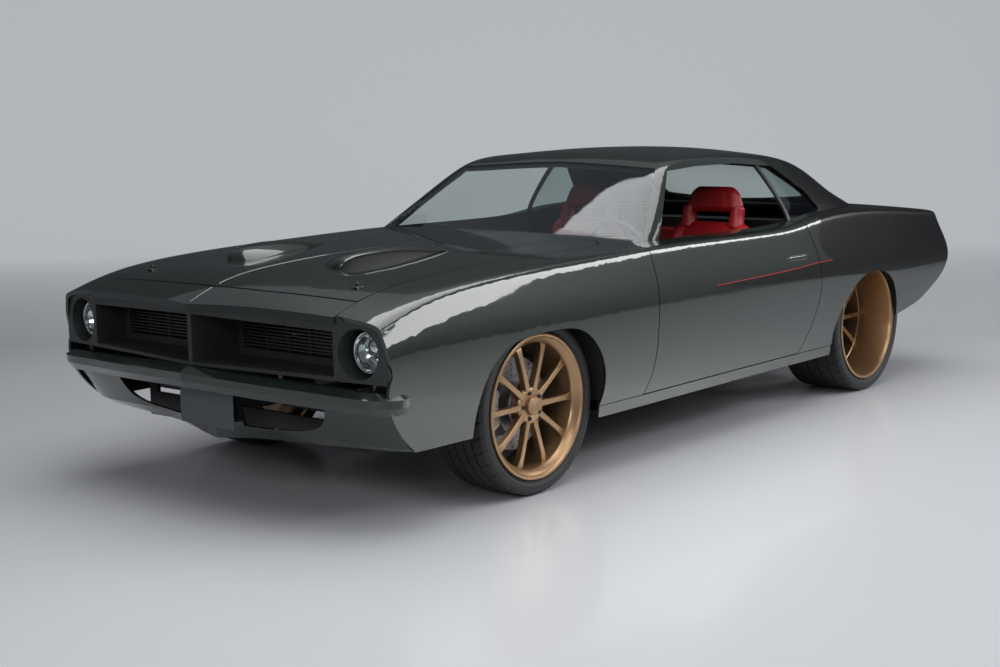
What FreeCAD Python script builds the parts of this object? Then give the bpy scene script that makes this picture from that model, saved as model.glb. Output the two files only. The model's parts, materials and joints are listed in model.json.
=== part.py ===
import FreeCAD, Part
import math
import os
from FreeCAD import Vector

# Two-door muscle car of about 1970, in millimetres
# X points to the car's left side, Y to its rear and Z up, from the ground below the middle of its length

# Driving dimensions of the whole car
BODY_LENGTH = 4742.0
BODY_WIDTH = 1902.0
ROOF_HEIGHT = 1288.0
WHEELBASE = 2743.0
WHEELBASE_SHIFT = 13.0

# Wheels and tyres
FRONT_TYRE_RADIUS = 345.0
FRONT_TYRE_WIDTH = 255.0
FRONT_RIM_RADIUS = 284.0
FRONT_TRACK_HALF = 750.0
REAR_TYRE_RADIUS = 360.0
REAR_TYRE_WIDTH = 330.0
REAR_RIM_RADIUS = 296.0
REAR_TRACK_HALF = 726.0
RIM_WALL = 12.0
RIM_INSET = 4.0
BEAD_DROP = 17.0
WELL_DROP = 20.0
TYRE_SHOULDER_WIDTH = 19.0
TYRE_FLANGE_RISE = 3.0
FRONT_DISH = 34.0
REAR_DISH = 178.0
SPOKE_COUNT = 10
SPOKE_WIDTH = 26.0
SPOKE_DEPTH = 38.0
SPOKE_FLARE_share = 1.1
HUB_RADIUS = 78.0
HUB_CAP_RADIUS = 36.0
SPINDLE_RADIUS = 30.0
SPINDLE_CLEARANCE = 0.05
DISC_RADIUS = 182.0
DISC_THICKNESS = 28.0
DISC_HAT_RADIUS = 92.0
FRONT_DISC_X = 735.0
REAR_DISC_X = 606.0
CALIPER_WIDTH = 74.0
CALIPER_RISE = 32.0
CALIPER_BITE = 58.0
KNUCKLE_HALF = 26.0
SPINDLE_REACH = 75.0
ARM_THICKNESS = 20.0
LOWER_ARM_Z = 236.0
UPPER_ARM_Z = 470.0
KINGPIN_OFFSET = 85.0
KINGPIN_RADIUS = 14.0

# Sheet and panel thicknesses, gaps and fits
SKIN = 14.0
LID_SKIN = 24.0
DOOR_THICKNESS = 110.0
ROOF_SKIN = 28.0
SHEET = 16.0
GLASS_THICKNESS = 6.0
GLASS_SETBACK = 6.0
GLASS_FLANGE = 40.0
PANEL_GAP = 5.0
FIXED_GAP = 3.0
LID_FRONT_GAP = 9.0
FRAME_INSET = 16.0
SEAT_GAP = 0.3
OVERRUN = 400.0

# The body skin is drawn down to this height, before the panels are cut to their outlines
SKIRT_HEIGHT = 200.0
SILL_TUCK = 42.0
SHOULDER_ROUND = 30.0
CREASE_ROUND = 48.0
UPPER_FOOT_HEIGHT = 460.0
EDGE_ROUND = 34.0

HALF_LENGTH = BODY_LENGTH / 2
HALF_WIDTH = BODY_WIDTH / 2
FRONT_AXLE_Y = WHEELBASE_SHIFT - WHEELBASE / 2
REAR_AXLE_Y = WHEELBASE_SHIFT + WHEELBASE / 2

# Lower body by stations, each as shares of half the length, half the width and the roof height:
# place, widest line out, widest line up, shoulder out, shoulder up, middle of the top up, power of its crown
LOWER_BODY_shares = [
    (-1.040, 0.966, 0.508, 0.934, 0.552, 0.560, 1.5),
    (-0.975, 0.970, 0.514, 0.936, 0.568, 0.614, 1.5),
    (-0.910, 0.975, 0.521, 0.940, 0.614, 0.668, 1.7),
    (-0.820, 0.982, 0.529, 0.942, 0.655, 0.688, 2.0),
    (-0.700, 0.990, 0.534, 0.946, 0.675, 0.703, 2.2),
    (-0.570, 0.995, 0.536, 0.950, 0.686, 0.711, 2.4),
    (-0.420, 0.997, 0.536, 0.953, 0.693, 0.719, 2.4),
    (-0.270, 0.998, 0.536, 0.955, 0.701, 0.727, 2.4),
    (-0.130, 0.996, 0.536, 0.953, 0.704, 0.728, 2.4),
    (0.010, 0.995, 0.536, 0.951, 0.702, 0.728, 2.4),
    (0.130, 0.995, 0.535, 0.951, 0.702, 0.730, 2.4),
    (0.230, 0.996, 0.534, 0.952, 0.704, 0.732, 2.4),
    (0.310, 0.998, 0.533, 0.955, 0.724, 0.736, 2.4),
    (0.390, 0.999, 0.531, 0.958, 0.740, 0.742, 2.4),
    (0.500, 1.000, 0.529, 0.962, 0.743, 0.746, 2.4),
    (0.620, 0.999, 0.524, 0.961, 0.735, 0.747, 2.4),
    (0.740, 0.990, 0.515, 0.953, 0.719, 0.739, 2.4),
    (0.850, 0.974, 0.505, 0.943, 0.704, 0.729, 2.4),
    (0.930, 0.960, 0.497, 0.933, 0.694, 0.716, 2.4),
    (1.040, 0.932, 0.487, 0.911, 0.680, 0.694, 2.4),
]

# Upper body by stations: place, edge out, edge up, belt out, middle up, as shares of the same sizes
UPPER_BODY_shares = [
    (-0.400, 0.900, 0.520, 0.870, 0.590),
    (-0.300, 0.888, 0.610, 0.872, 0.686),
    (-0.215, 0.836, 0.703, 0.879, 0.773),
    (-0.127, 0.732, 0.827, 0.882, 0.861),
    (-0.060, 0.652, 0.922, 0.884, 0.932),
    (-0.025, 0.630, 0.950, 0.885, 0.967),
    (0.020, 0.632, 0.962, 0.885, 0.985),
    (0.090, 0.634, 0.966, 0.885, 0.995),
    (0.190, 0.637, 0.966, 0.885, 1.000),
    (0.290, 0.637, 0.961, 0.882, 0.998),
    (0.380, 0.634, 0.950, 0.872, 0.986),
    (0.460, 0.626, 0.926, 0.862, 0.960),
    (0.530, 0.612, 0.888, 0.850, 0.912),
    (0.590, 0.604, 0.842, 0.845, 0.842),
    (0.650, 0.600, 0.788, 0.842, 0.762),
    (0.715, 0.606, 0.726, 0.842, 0.690),
    (0.790, 0.620, 0.640, 0.842, 0.600),
]
BELT_HEIGHT_share = 0.70

# How the poles of one section are spread between its named lines
SKIRT_RUN_shares = (1.0, 0.74, 0.48, 0.22)
TUCK_POWER = 1.8
LEAN_RUN_shares = (0.22, 0.55)
TOP_RUN_shares = (0.90, 0.74, 0.50, 0.25, 0.0)
GLASS_RUN_shares = (0.0, 0.34, 0.68)
GLASS_BOW_POWER = 1.15
ROOF_RUN_shares = (0.82, 0.62, 0.40, 0.20, 0.0)
ROOF_CROWN_POWER = 2.2
EDGE_IN_share = 0.2
EDGE_OUT_share = 0.8

# Outlines seen from the side: (place, height) as shares of half the length and the roof height
LOWER_EDGE_share = 0.234
FENDER_NOSE_TOP_shares = ((-0.9465, 0.760), (-0.943, 0.590), (-0.938, 0.528), (-0.930, 0.455))
FENDER_NOSE_LOW_shares = ((-0.930, 0.455), (-0.931, 0.353), (-0.916, 0.306), (-0.898, 0.269),
                          (-0.876, LOWER_EDGE_share))
DOOR_FRONT_LINE_shares = ((-0.281, 0.780), (-0.280, 0.700), (-0.272, 0.610), (-0.272, 0.480),
                          (-0.279, 0.320), (-0.306, LOWER_EDGE_share))
DOOR_REAR_LINE_shares = ((0.276, 0.780), (0.281, 0.700), (0.314, 0.560), (0.318, 0.480),
                         (0.294, 0.350), (0.241, LOWER_EDGE_share))
ROCKER_BOTTOM_share = 0.196
ROCKER_FRONT_share = 0.95
TAIL_LINE_shares = ((0.917, 0.780), (0.917, 0.682), (0.989, 0.482), (0.973, 0.449), (0.891, 0.375), (0.821, 0.331),
                    (0.758, 0.309), (0.680, 0.288))

# Wheel arches: (place, height) from the axle and the ground, as shares of the tyre's radius
FRONT_ARCH_shares = ((-1.24, 0.80), (-1.19, 1.22), (-0.86, 1.71), (-0.40, 1.85), (0.00, 1.865), (0.52, 1.81),
                     (0.84, 1.59), (1.02, 1.24), (0.88, 0.80))
REAR_ARCH_shares = ((-1.33, 0.80), (-1.27, 1.08), (-0.94, 1.47), (-0.60, 1.69), (-0.05, 1.765), (0.42, 1.60),
                    (0.62, 1.32), (0.66, 0.80))

# Lids and their neighbours seen from above: (place, distance out), as shares of half the length and width
HOOD_FRONT_shares = ((-0.924, 0.0), (-0.918, 0.28), (-0.897, 0.722))
HOOD_REAR_share = -0.288
HOOD_REAR_SIDE_share = 0.752
HOOD_CORNER = 70.0
NOSE_FRONT_shares = ((-0.982, 0.0), (-0.966, 0.32), (-0.949, 0.730))
COWL_SIDE_share = 0.830
COWL_REAR_share = -0.196
DECK_FRONT_share = 0.724
DECK_REAR_share = 0.918
DECK_SIDE_share = 0.715
REAR_DECK_FRONT_share = 0.560
QUARTER_TOP_share = 0.820

# Windows: outlines seen from above or from the side
WINDSCREEN_shares = ((-0.268, 0.0), (-0.256, 0.42), (-0.212, 0.802), (-0.048, 0.596), (-0.036, 0.0))
REAR_WINDOW_shares = ((0.492, 0.0), (0.500, 0.470), (0.652, 0.480), (0.656, 0.0))
SIDE_WINDOW_shares = ((-0.196, 0.690), (-0.040, 0.925), (0.050, 0.936), (0.200, 0.938), (0.335, 0.920),
                      (0.412, 0.820), (0.432, 0.752), (0.380, 0.690))
DIVIDER_FOOT_share = 0.281
DIVIDER_TOP_share = 0.276
DIVIDER_WIDTH = 24.0

# Bumpers seen from above, from the middle to the tip: (place, distance out)
FRONT_BUMPER_shares = ((-1.000, 0.0), (-0.985, 0.42), (-0.965, 0.79), (-0.951, 0.932), (-0.935, 0.973),
                       (-0.903, 0.986))
REAR_BUMPER_shares = ((1.000, 0.0), (0.997, 0.42), (0.988, 0.66), (0.968, 0.790), (0.945, 0.845), (0.915, 0.870))
BUMPER_DEPTH = 62.0
FRONT_BUMPER_LOW = 474.0
FRONT_BUMPER_HIGH = 552.0
FRONT_DROOP_share = 0.0284
REAR_BUMPER_LOW = 500.0
REAR_BUMPER_HIGH = 570.0

# Sections of the bumpers: (height, set back), as shares of the blade's height and depth
FRONT_BLADE_shares = ((0.0, 0.36), (0.36, 0.05), (0.74, 0.0), (1.0, 0.55))
REAR_BLADE_shares = ((0.0, 0.26), (0.2, 0.0), (0.8, 0.0), (1.0, 0.26))

# Grille and lamps
SURROUND_FRONT_shares = ((-0.978, 0.0), (-0.963, 0.32), (-0.946, 0.730), (-0.937, 0.93), (-0.932, 0.99))
SURROUND_BACK_Y = -2040.0
SURROUND_LOW = 553.0
POCKET_LOW = 572.0
POCKET_HIGH = 724.0
POCKET_INNER = 30.0
POCKET_OUTER = 668.0
POCKET_FACE_Y = -2110.0
POCKET_MOUTH_INNER = 6.0
POCKET_MOUTH_OUTER = 692.0
POCKET_MOUTH_LOW = 563.0
POCKET_MOUTH_HIGH = 750.0
POCKET_MOUTH_DROP = 24.0
GRILLE_FRAME = 26.0
GRILLE_BAR_COUNT = 7
GRILLE_BAR_HEIGHT = 6.0
GRILLE_BAR_DEPTH = 22.0
LAMP_X = 788.0
LAMP_Z = 652.0
LAMP_RADIUS = 76.0
LAMP_RECESS_RADIUS = 88.0
LAMP_FRONT_Y = -2176.0
LAMP_DEPTH = 66.0
LAMP_DOME = 12.0
LAMP_RING = 9.0
GRILLE_STAY_shares = (0.2, 0.4, 0.6, 0.8)

# Valance under the front bumper, seen from above: (place, distance out), for its top, its chin and its lip
VALANCE_TOP_shares = ((-0.950, 0.0), (-0.948, 0.21), (-0.945, 0.36), (-0.939, 0.55), (-0.935, 0.72), (-0.932, 0.86),
                      (-0.926, 0.946))
VALANCE_CHIN_shares = ((-0.938, 0.0), (-0.930, 0.21), (-0.918, 0.34), (-0.915, 0.55), (-0.908, 0.72), (-0.898, 0.86),
                       (-0.884, 0.943))
VALANCE_LIP_shares = ((-0.932, 0.0), (-0.906, 0.21), (-0.876, 0.40), (-0.868, 0.58), (-0.862, 0.72), (-0.850, 0.86),
                      (-0.835, 0.935))
VALANCE_CHIN = 338.0
VALANCE_LOW = 262.0

# Lower edge of the valance and outline of its mouths: (distance out, height)
VALANCE_EDGE_shares = ((0.0, 0.203), (0.16, 0.2135), (0.32, 0.211), (0.47, 0.211), (0.63, 0.223), (0.82, 0.233),
                       (1.0, 0.238))
VALANCE_MOUTH_shares = ((0.168, 0.253), (0.315, 0.251), (0.420, 0.257), (0.526, 0.271), (0.589, 0.295), (0.620, 0.330),
                        (0.628, 0.345))
VALANCE_MOUTH_TOP_share = 0.355

# Front plate
PLATE_WIDTH = 305.0
PLATE_HEIGHT = 152.0
PLATE_THICKNESS = 3.0
PLATE_SEAT = 1.1
PLATE_TOP = 468.0
PLATE_HOLE_SPACING = 178.0
PLATE_HOLE_RADIUS = 3.5
PLATE_HOLE_EDGE = 14.0

# Tail lamps and the panel under the rear bumper
TAIL_LAMP_INNER = 250.0
TAIL_LAMP_OUTER = 800.0
TAIL_LAMP_LOW = 680.0
TAIL_LAMP_HIGH = 790.0
REAR_VALANCE_RUN = 60.0
REAR_VALANCE_LOW = 380.0
REAR_VALANCE_SIDE = 700.0

# Hinge leaves of the two lids
LID_LEAF_X = 520.0
LID_LEAF_RUN = 80.0
LID_LEAF_DROP = 120.0

# Floor and structure
RAIL_FRONT_Y = -2030.0
UNDER_RAIL_LOW = 180.0
SUPPORT_SIDE = 640.0
SUPPORT_BORDER = 50.0
SUPPORT_HIGH = 760.0
FLOOR_HEIGHT = 230.0
FLOOR_FRONT_Y = -620.0
FLOOR_KICK_Y = 700.0
KICK_TOP_Y = 1050.0
KICK_HEIGHT = 530.0
KICK_END_Y = 1640.0
BOOT_FLOOR_Y = 1730.0
BOOT_FLOOR_HEIGHT = 340.0
FLOOR_REAR_Y = 2030.0
FLOOR_SIDE = 770.0
FLOOR_REAR_SIDE = 538.0
TUNNEL_SIDE = 146.0
TUNNEL_HEIGHT = 430.0
RAIL_INNER = 370.0
RAIL_OUTER = 432.0
RAIL_LOW = 250.0
RAIL_HIGH = 330.0
REAR_RAIL_INNER = 470.0
REAR_RAIL_OUTER = 530.0
REAR_RAIL_DEPTH = 70.0
BULKHEAD_Y = 1190.0
SHELF_HEIGHT = 884.0
SHELF_REAR_Y = 1500.0
SHELF_SIDE = 536.0
PILLAR_FRONT_Y = -830.0
PILLAR_REAR_Y = -740.0
PILLAR_INNER = 770.0
PILLAR_OUTER = 905.0
LEAF_INNER = 848.0
LEAF_OUTER = 878.0
LEAF_HEIGHT = 46.0
DOOR_LEAF_shares = (0.33, 0.56)

# Wheelhouses
FRONT_HOUSE_RADIUS = 440.0
FRONT_HOUSE_INNER = 436.0
REAR_HOUSE_RADIUS = 452.0
REAR_HOUSE_INNER = 540.0
HOUSE_WALL = 12.0
HOUSE_LOW = 300.0
REAR_HOUSE_LOW = 400.0
ARM_HOLE_HALF = 190.0

# Cabin fittings
DASH_FRONT_Y = -620.0
DASH_REAR_Y = -290.0
DASH_TOP = 872.0
DASH_LOW = 640.0
DASH_SIDE = 745.0
COLUMN_X = 370.0
COLUMN_RADIUS = 18.0
STEERING_Y = -110.0
STEERING_Z = 812.0
STEERING_RADIUS = 178.0
STEERING_RIM = 14.0
STEERING_TILT = 24.0
SEAT_X = 385.0
SEAT_WIDTH = 470.0
SEAT_BASE = 246.3
SEAT_PROFILE = ((-20.0, 0.0), (490.0, 0.0), (560.0, 130.0), (690.0, 600.0), (722.0, 820.0), (664.0, 846.0),
                (590.0, 600.0), (462.0, 250.0), (300.0, 220.0), (20.0, 290.0), (-40.0, 200.0))
SEAT_FRONT_shares = ((-1.0, 0.0), (1.0, 0.0), (1.0, 0.36), (0.92, 0.66), (0.66, 0.76), (0.50, 0.82), (0.47, 0.96),
                     (0.34, 1.0), (-0.34, 1.0), (-0.47, 0.96), (-0.50, 0.82), (-0.66, 0.76), (-0.92, 0.66),
                     (-1.0, 0.36))
SEAT_HEIGHT = 846.0
REAR_SEAT_HALF = 520.0
REAR_SEAT_FRONT_Y = 640.0
REAR_SEAT_HEIGHT = 560.0
REAR_SEAT_BACK_TOP = 862.0
REAR_SEAT_BACK_DEPTH = 120.0
DASH_DROP = 60.0
COLUMN_LENGTH = 320.0
COLUMN_STEP = 46.0

# Engine, driveline and what hangs below
MOUNT_HALF = 60.0
GEARBOX_REAR_Y = -380.0
SHAFT_Z = 330.0
SHAFT_RADIUS = 38.0
DIFF_RADIUS = 140.0
DIFF_HALF = 110.0
AXLE_HALF = 575.0
AXLE_RADIUS = 45.0
LEAF_THICKNESS = 24.0
SPRING_INNER = 400.0
SPRING_OUTER = 460.0
SPRING_EYE = 9.0
LEAF_LINE = ((-670.0, 212.0), (-330.0, 270.0), (0.0, 302.0), (330.0, 290.0), (660.0, 266.0))
EXHAUST_FRONT_Y = -700.0
EXHAUST_REAR_Y = 2290.0
MUFFLER_FRONT_Y = 1760.0
MUFFLER_REAR_Y = 2100.0
ENGINE_WIDTH = 520.0
ENGINE_FRONT_Y = -1540.0
ENGINE_REAR_Y = -860.0
ENGINE_LOW = 300.0
ENGINE_HIGH = 770.0
EXHAUST_X = 300.0
EXHAUST_Z = 186.0
EXHAUST_RADIUS = 28.0
TANK_HALF = 230.0
TANK_LOW = 205.0


def place_y(share):
    return share * HALF_LENGTH


def place_x(share):
    return share * HALF_WIDTH


def place_z(share):
    return share * ROOF_HEIGHT


def mirrored(shape):
    return shape.mirror(Vector(0, 0, 0), Vector(1, 0, 0))


def both_sides(shape):
    return Part.makeCompound([shape, mirrored(shape)])


def fused(shapes):
    whole = shapes[0].multiFuse(shapes[1:])
    return whole.removeSplitter()


def block(x0, x1, y0, y1, z0, z1):
    return Part.makeBox(x1 - x0, y1 - y0, z1 - z0, Vector(x0, y0, z0))


def rod_x(x0, x1, y, z, radius):
    return Part.makeCylinder(radius, x1 - x0, Vector(x0, y, z), Vector(1, 0, 0))


def tube_x(x0, x1, y, z, inner, outer):
    return rod_x(x0, x1, y, z, outer).cut(rod_x(x0 - OVERRUN, x1 + OVERRUN, y, z, inner))


def polygon_face(points):
    return Part.Face(Part.makePolygon(points + [points[0]]))


def side_prism(points, x0, x1):
    """Prism across the car from (y, z) points."""
    return polygon_face([Vector(x0, y, z) for y, z in points]).extrude(Vector(x1 - x0, 0, 0))


def plan_prism(points, z0, z1):
    """Upright prism from (x, y) points."""
    return polygon_face([Vector(x, y, z0) for x, y in points]).extrude(Vector(0, 0, z1 - z0))


def front_prism(points, y0, y1):
    """Prism along the car from (x, z) points."""
    return polygon_face([Vector(x, y0, z) for x, z in points]).extrude(Vector(0, y1 - y0, 0))


def smooth_edge(points):
    curve = Part.BSplineCurve()
    curve.interpolate(points)
    return curve.toShape()


def joined_face(runs):
    """Flat face inside runs of points: three or more make a smooth edge, two a straight one."""
    edges = []
    for index, run in enumerate(runs):
        following = runs[(index + 1) % len(runs)][0]
        edges.append(smooth_edge(run) if len(run) > 2 else Part.makeLine(run[0], run[1]))
        if (following - run[-1]).Length > SEAT_GAP:
            edges.append(Part.makeLine(run[-1], following))
    return Part.Face(Part.Wire(edges))


def smooth_side_prism(runs, x0, x1):
    face = joined_face([[Vector(x0, y, z) for y, z in run] for run in runs])
    return face.extrude(Vector(x1 - x0, 0, 0))


def side_points(shares):
    return [(place_y(place), place_z(height)) for place, height in shares]


def plan_points(shares):
    return [(place_x(out), place_y(place)) for place, out in shares]


def mirrored_outline(half):
    """Closed outline from the (x, y) points of its left half, which start and end on the middle line."""
    return half + [(-x, y) for x, y in reversed(half) if x > 0]


def clamped_knots(count, degree):
    spans = count - degree
    knots = [float(step) for step in range(spans + 1)]
    multiplicities = [degree + 1] + [1] * (spans - 1) + [degree + 1]
    return knots, multiplicities


def skin_solid(rows):
    """Closed solid under a smooth skin whose rows of poles run across the car."""
    degree = 3
    u_knots, u_mults = clamped_knots(len(rows), degree)
    v_knots, v_mults = clamped_knots(len(rows[0]), degree)
    surface = Part.BSplineSurface()
    surface.buildFromPolesMultsKnots(rows, u_mults, v_mults, u_knots, v_knots, False, False, degree, degree)
    ends = []
    for row, knot in ((rows[0], u_knots[0]), (rows[-1], u_knots[-1])):
        section = surface.uIso(knot).toShape()
        ends.append(Part.Face(Part.Wire([section, Part.makeLine(row[-1], row[0])])))
    left = surface.vIso(v_knots[0]).toShape()
    right = surface.vIso(v_knots[-1]).toShape()
    front = Part.makeLine(rows[0][0], rows[0][-1])
    rear = Part.makeLine(rows[-1][0], rows[-1][-1])
    floor = Part.Face(Part.Wire(Part.sortEdges([left, rear, right, front])[0]))
    shell = Part.makeCompound([surface.toShape(), floor] + ends)
    shell.sewShape()
    solid = Part.makeSolid(shell.Shells[0])
    if solid.Volume < 0:
        solid.reverse()
    return solid


def whole_section(half, y):
    left = [Vector(x, y, z) for x, z in half]
    right = [Vector(-x, y, z) for x, z in reversed(half[:-1])]
    return left + right


def lower_section(row, inset):
    """Poles of the lower body at one station, from the left skirt over the top to the right skirt."""
    place, crease_x, crease_z, shoulder_x, shoulder_z, middle_z, power = row
    crease_x = place_x(crease_x) - inset
    shoulder_x = place_x(shoulder_x) - inset
    crease_z = place_z(crease_z)
    shoulder_z = place_z(shoulder_z) - inset
    middle_z = place_z(middle_z) - inset
    low_run = crease_z - SKIRT_HEIGHT
    half = [(crease_x - SILL_TUCK * share ** TUCK_POWER, crease_z - low_run * share) for share in SKIRT_RUN_shares]
    half.append((crease_x, crease_z - CREASE_ROUND / 2))
    lean = (crease_x - shoulder_x) / (shoulder_z - crease_z)
    for share in LEAN_RUN_shares:
        rise = (shoulder_z - crease_z) * share
        half.append((crease_x - lean * rise, crease_z + rise))
    half.append((shoulder_x + lean * SHOULDER_ROUND, shoulder_z - SHOULDER_ROUND))
    half.append((shoulder_x, shoulder_z))
    crown = middle_z - shoulder_z
    half += [(shoulder_x * share, middle_z - crown * share ** power) for share in TOP_RUN_shares]
    return whole_section(half, place_y(place))


def upper_section(row, inset):
    """Poles of the cabin's upper part at one station, from its left foot over the roof to the right."""
    place, edge_x, edge_z, belt_x, middle_z = row
    edge_x = place_x(edge_x) - inset
    edge_z = place_z(edge_z) - inset
    belt_x = place_x(belt_x) - inset
    middle_z = place_z(middle_z) - inset
    belt_z = min(place_z(BELT_HEIGHT_share), edge_z - 2 * EDGE_ROUND)
    rise = edge_z - belt_z
    half = [(belt_x, UPPER_FOOT_HEIGHT), (belt_x, (UPPER_FOOT_HEIGHT + belt_z) / 2)]
    for share in GLASS_RUN_shares:
        half.append((belt_x + (edge_x - belt_x) * share ** GLASS_BOW_POWER, belt_z + rise * share))
    lean = (belt_x - edge_x) / rise
    half.append((edge_x + lean * EDGE_ROUND * EDGE_OUT_share, edge_z - EDGE_ROUND))
    half.append((edge_x - EDGE_ROUND * EDGE_IN_share, edge_z + EDGE_ROUND * EDGE_IN_share))
    crown = middle_z - edge_z
    half += [(edge_x * share, middle_z - crown * share ** ROOF_CROWN_POWER) for share in ROOF_RUN_shares]
    return whole_section(half, place_y(place))


def lower_body(inset):
    return skin_solid([lower_section(row, inset) for row in LOWER_BODY_shares])


def upper_body(inset):
    return skin_solid([upper_section(row, inset) for row in UPPER_BODY_shares])


BODY_OUTER = lower_body(0)
BODY_INNER = lower_body(SKIN)
BODY_LINING = lower_body(SKIN + SEAT_GAP)
BODY_SEAT = lower_body(-SEAT_GAP)
CABIN_OUTER = upper_body(0)
CABIN_INNER = upper_body(ROOF_SKIN)


def panel(prism, outer, inner):
    """One piece of skin: what a prism holds of the space between two skins."""
    return prism.common(outer).cut(inner)


# Outlines that neighbouring panels share

def hood_outline(gap):
    front_gap = LID_FRONT_GAP if gap else 0
    front = [(x, y - front_gap) for x, y in plan_points(HOOD_FRONT_shares)]
    corner_x, corner_y = front[-1]
    rear_x = place_x(HOOD_REAR_SIDE_share) + gap
    rear_y = place_y(HOOD_REAR_share) + gap
    half = front[:-1] + [(corner_x + gap, corner_y), (rear_x, rear_y - HOOD_CORNER), (rear_x - HOOD_CORNER, rear_y)]
    return mirrored_outline(half + [(0, rear_y)])


def hood_prism(gap):
    return plan_prism(hood_outline(gap), UPPER_FOOT_HEIGHT, ROOF_HEIGHT)


def nose_prism(gap):
    front = plan_points(NOSE_FRONT_shares)
    rear = [(x, y - LID_FRONT_GAP + gap) for x, y in plan_points(HOOD_FRONT_shares)]
    front_x, front_y = front[-1]
    rear_x, rear_y = rear[-1]
    half = front[:-1] + [(front_x + gap, front_y), (rear_x + gap, rear_y)] + rear[-2::-1]
    return plan_prism(mirrored_outline(half), UPPER_FOOT_HEIGHT, ROOF_HEIGHT)


def cowl_prism(gap):
    front_y = place_y(HOOD_REAR_share) + PANEL_GAP - gap
    side = place_x(COWL_SIDE_share) + gap
    return block(-side, side, front_y, place_y(COWL_REAR_share) + gap, UPPER_FOOT_HEIGHT, ROOF_HEIGHT)


def deck_prism(gap):
    rear_gap = LID_FRONT_GAP if gap else 0
    side = place_x(DECK_SIDE_share) + gap
    front = place_y(DECK_FRONT_share) - gap
    return block(-side, side, front, place_y(DECK_REAR_share) + rear_gap, UPPER_FOOT_HEIGHT, ROOF_HEIGHT)


def rear_deck_prism():
    side = place_x(DECK_SIDE_share)
    rear = place_y(DECK_FRONT_share) - PANEL_GAP
    return block(-side, side, place_y(REAR_DECK_FRONT_share), rear, UPPER_FOOT_HEIGHT, ROOF_HEIGHT)


def windscreen_prism(grow):
    points = plan_points(WINDSCREEN_shares)
    moved = [(x + (grow if x else 0), y + (grow if y > points[2][1] else -grow)) for x, y in points]
    return plan_prism(mirrored_outline(moved), UPPER_FOOT_HEIGHT, ROOF_HEIGHT + OVERRUN)


def rear_window_prism(grow):
    points = plan_points(REAR_WINDOW_shares)
    moved = [(x + (grow if x else 0), y + (grow if y > points[1][1] else -grow)) for x, y in points]
    return plan_prism(mirrored_outline(moved), UPPER_FOOT_HEIGHT, ROOF_HEIGHT + OVERRUN)


def side_window_prism(x0, x1):
    return side_prism(side_points(SIDE_WINDOW_shares), x0, x1)


def arch_prism(shares, axle_y, radius):
    arch = [(axle_y + place * radius, height * radius) for place, height in shares]
    low_rear = (arch[-1][0], 0)
    low_front = (arch[0][0], 0)
    runs = [arch, [arch[-1], low_rear], [low_rear, low_front], [low_front, arch[0]]]
    return smooth_side_prism(runs, 0, BODY_WIDTH)


def moved_line(line, dy):
    return [(y + dy, z) for y, z in line]


# Outer panels

def fender_side(gap):
    nose_top = moved_line(side_points(FENDER_NOSE_TOP_shares), -gap)
    nose_low = moved_line(side_points(FENDER_NOSE_LOW_shares), -gap)
    door = moved_line(side_points(DOOR_FRONT_LINE_shares), -PANEL_GAP)
    low = place_z(LOWER_EDGE_share)
    runs = [nose_top, nose_low, [(nose_low[-1][0], low), (door[-1][0], low)], door[::-1]]
    return smooth_side_prism(runs, place_x(COWL_SIDE_share) / 2, BODY_WIDTH)


def front_fenders():
    """Fenders from the nose to the doors, with the front arches cut."""
    side = fender_side(0)
    side = side.cut(arch_prism(FRONT_ARCH_shares, FRONT_AXLE_Y, FRONT_TYRE_RADIUS))
    left = panel(side, BODY_OUTER, BODY_INNER)
    left = left.cut(hood_prism(PANEL_GAP)).cut(cowl_prism(FIXED_GAP)).cut(nose_prism(FIXED_GAP))
    return both_sides(left)


def door_prism(inset, x0):
    """Side outline of the door, drawn in from its gaps by an inset."""
    front = moved_line(side_points(DOOR_FRONT_LINE_shares), inset)
    rear = moved_line(side_points(DOOR_REAR_LINE_shares), -inset)
    runs = [front, [front[-1], rear[-1]], rear[::-1], [rear[0], front[0]]]
    low = place_z(LOWER_EDGE_share) + PANEL_GAP - FIXED_GAP + inset
    below = block(0, BODY_WIDTH, -HALF_LENGTH, HALF_LENGTH, 0, low)
    return smooth_side_prism(runs, x0, BODY_WIDTH).cut(below)


def door_left():
    """Door: an outer skin over an inner frame that stands back from the gaps."""
    inner_x = place_x(COWL_SIDE_share) + PANEL_GAP
    outer = door_prism(0, inner_x)
    skin = panel(outer, BODY_OUTER, BODY_INNER)
    inner = door_prism(FRAME_INSET, inner_x)
    frame = inner.common(BODY_OUTER).cut(lower_body(DOOR_THICKNESS)).common(lower_body(SKIN / 2))
    leaves = []
    for share in DOOR_LEAF_shares:
        z = place_z(share)
        leaves.append(block(LEAF_INNER, LEAF_OUTER, PILLAR_REAR_Y + SEAT_GAP, place_y(DOOR_FRONT_LINE_shares[2][0])
                            + 2 * FRAME_INSET, z - LEAF_HEIGHT, z + LEAF_HEIGHT))
    return fused([skin, frame] + leaves)


def quarter_side(gap):
    door = moved_line(side_points(DOOR_REAR_LINE_shares), PANEL_GAP)
    tail = moved_line(side_points(TAIL_LINE_shares), gap)
    low = place_z(LOWER_EDGE_share)
    runs = [door, [(door[-1][0], low), (tail[-1][0], low)], tail[::-1]]
    return smooth_side_prism(runs, place_x(DECK_SIDE_share) + FIXED_GAP, BODY_WIDTH)


def quarter_panels():
    """Quarter panels from the doors to the tail, with the rear arches cut and the hip's top surface."""
    side = quarter_side(0)
    side = side.cut(arch_prism(REAR_ARCH_shares, REAR_AXLE_Y, REAR_TYRE_RADIUS))
    left = panel(side, BODY_OUTER, BODY_INNER)
    opening = block(0, place_x(QUARTER_TOP_share), 0, place_y(REAR_DECK_FRONT_share), UPPER_FOOT_HEIGHT, ROOF_HEIGHT)
    return both_sides(left.cut(opening).cut(deck_prism(PANEL_GAP)))


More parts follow.
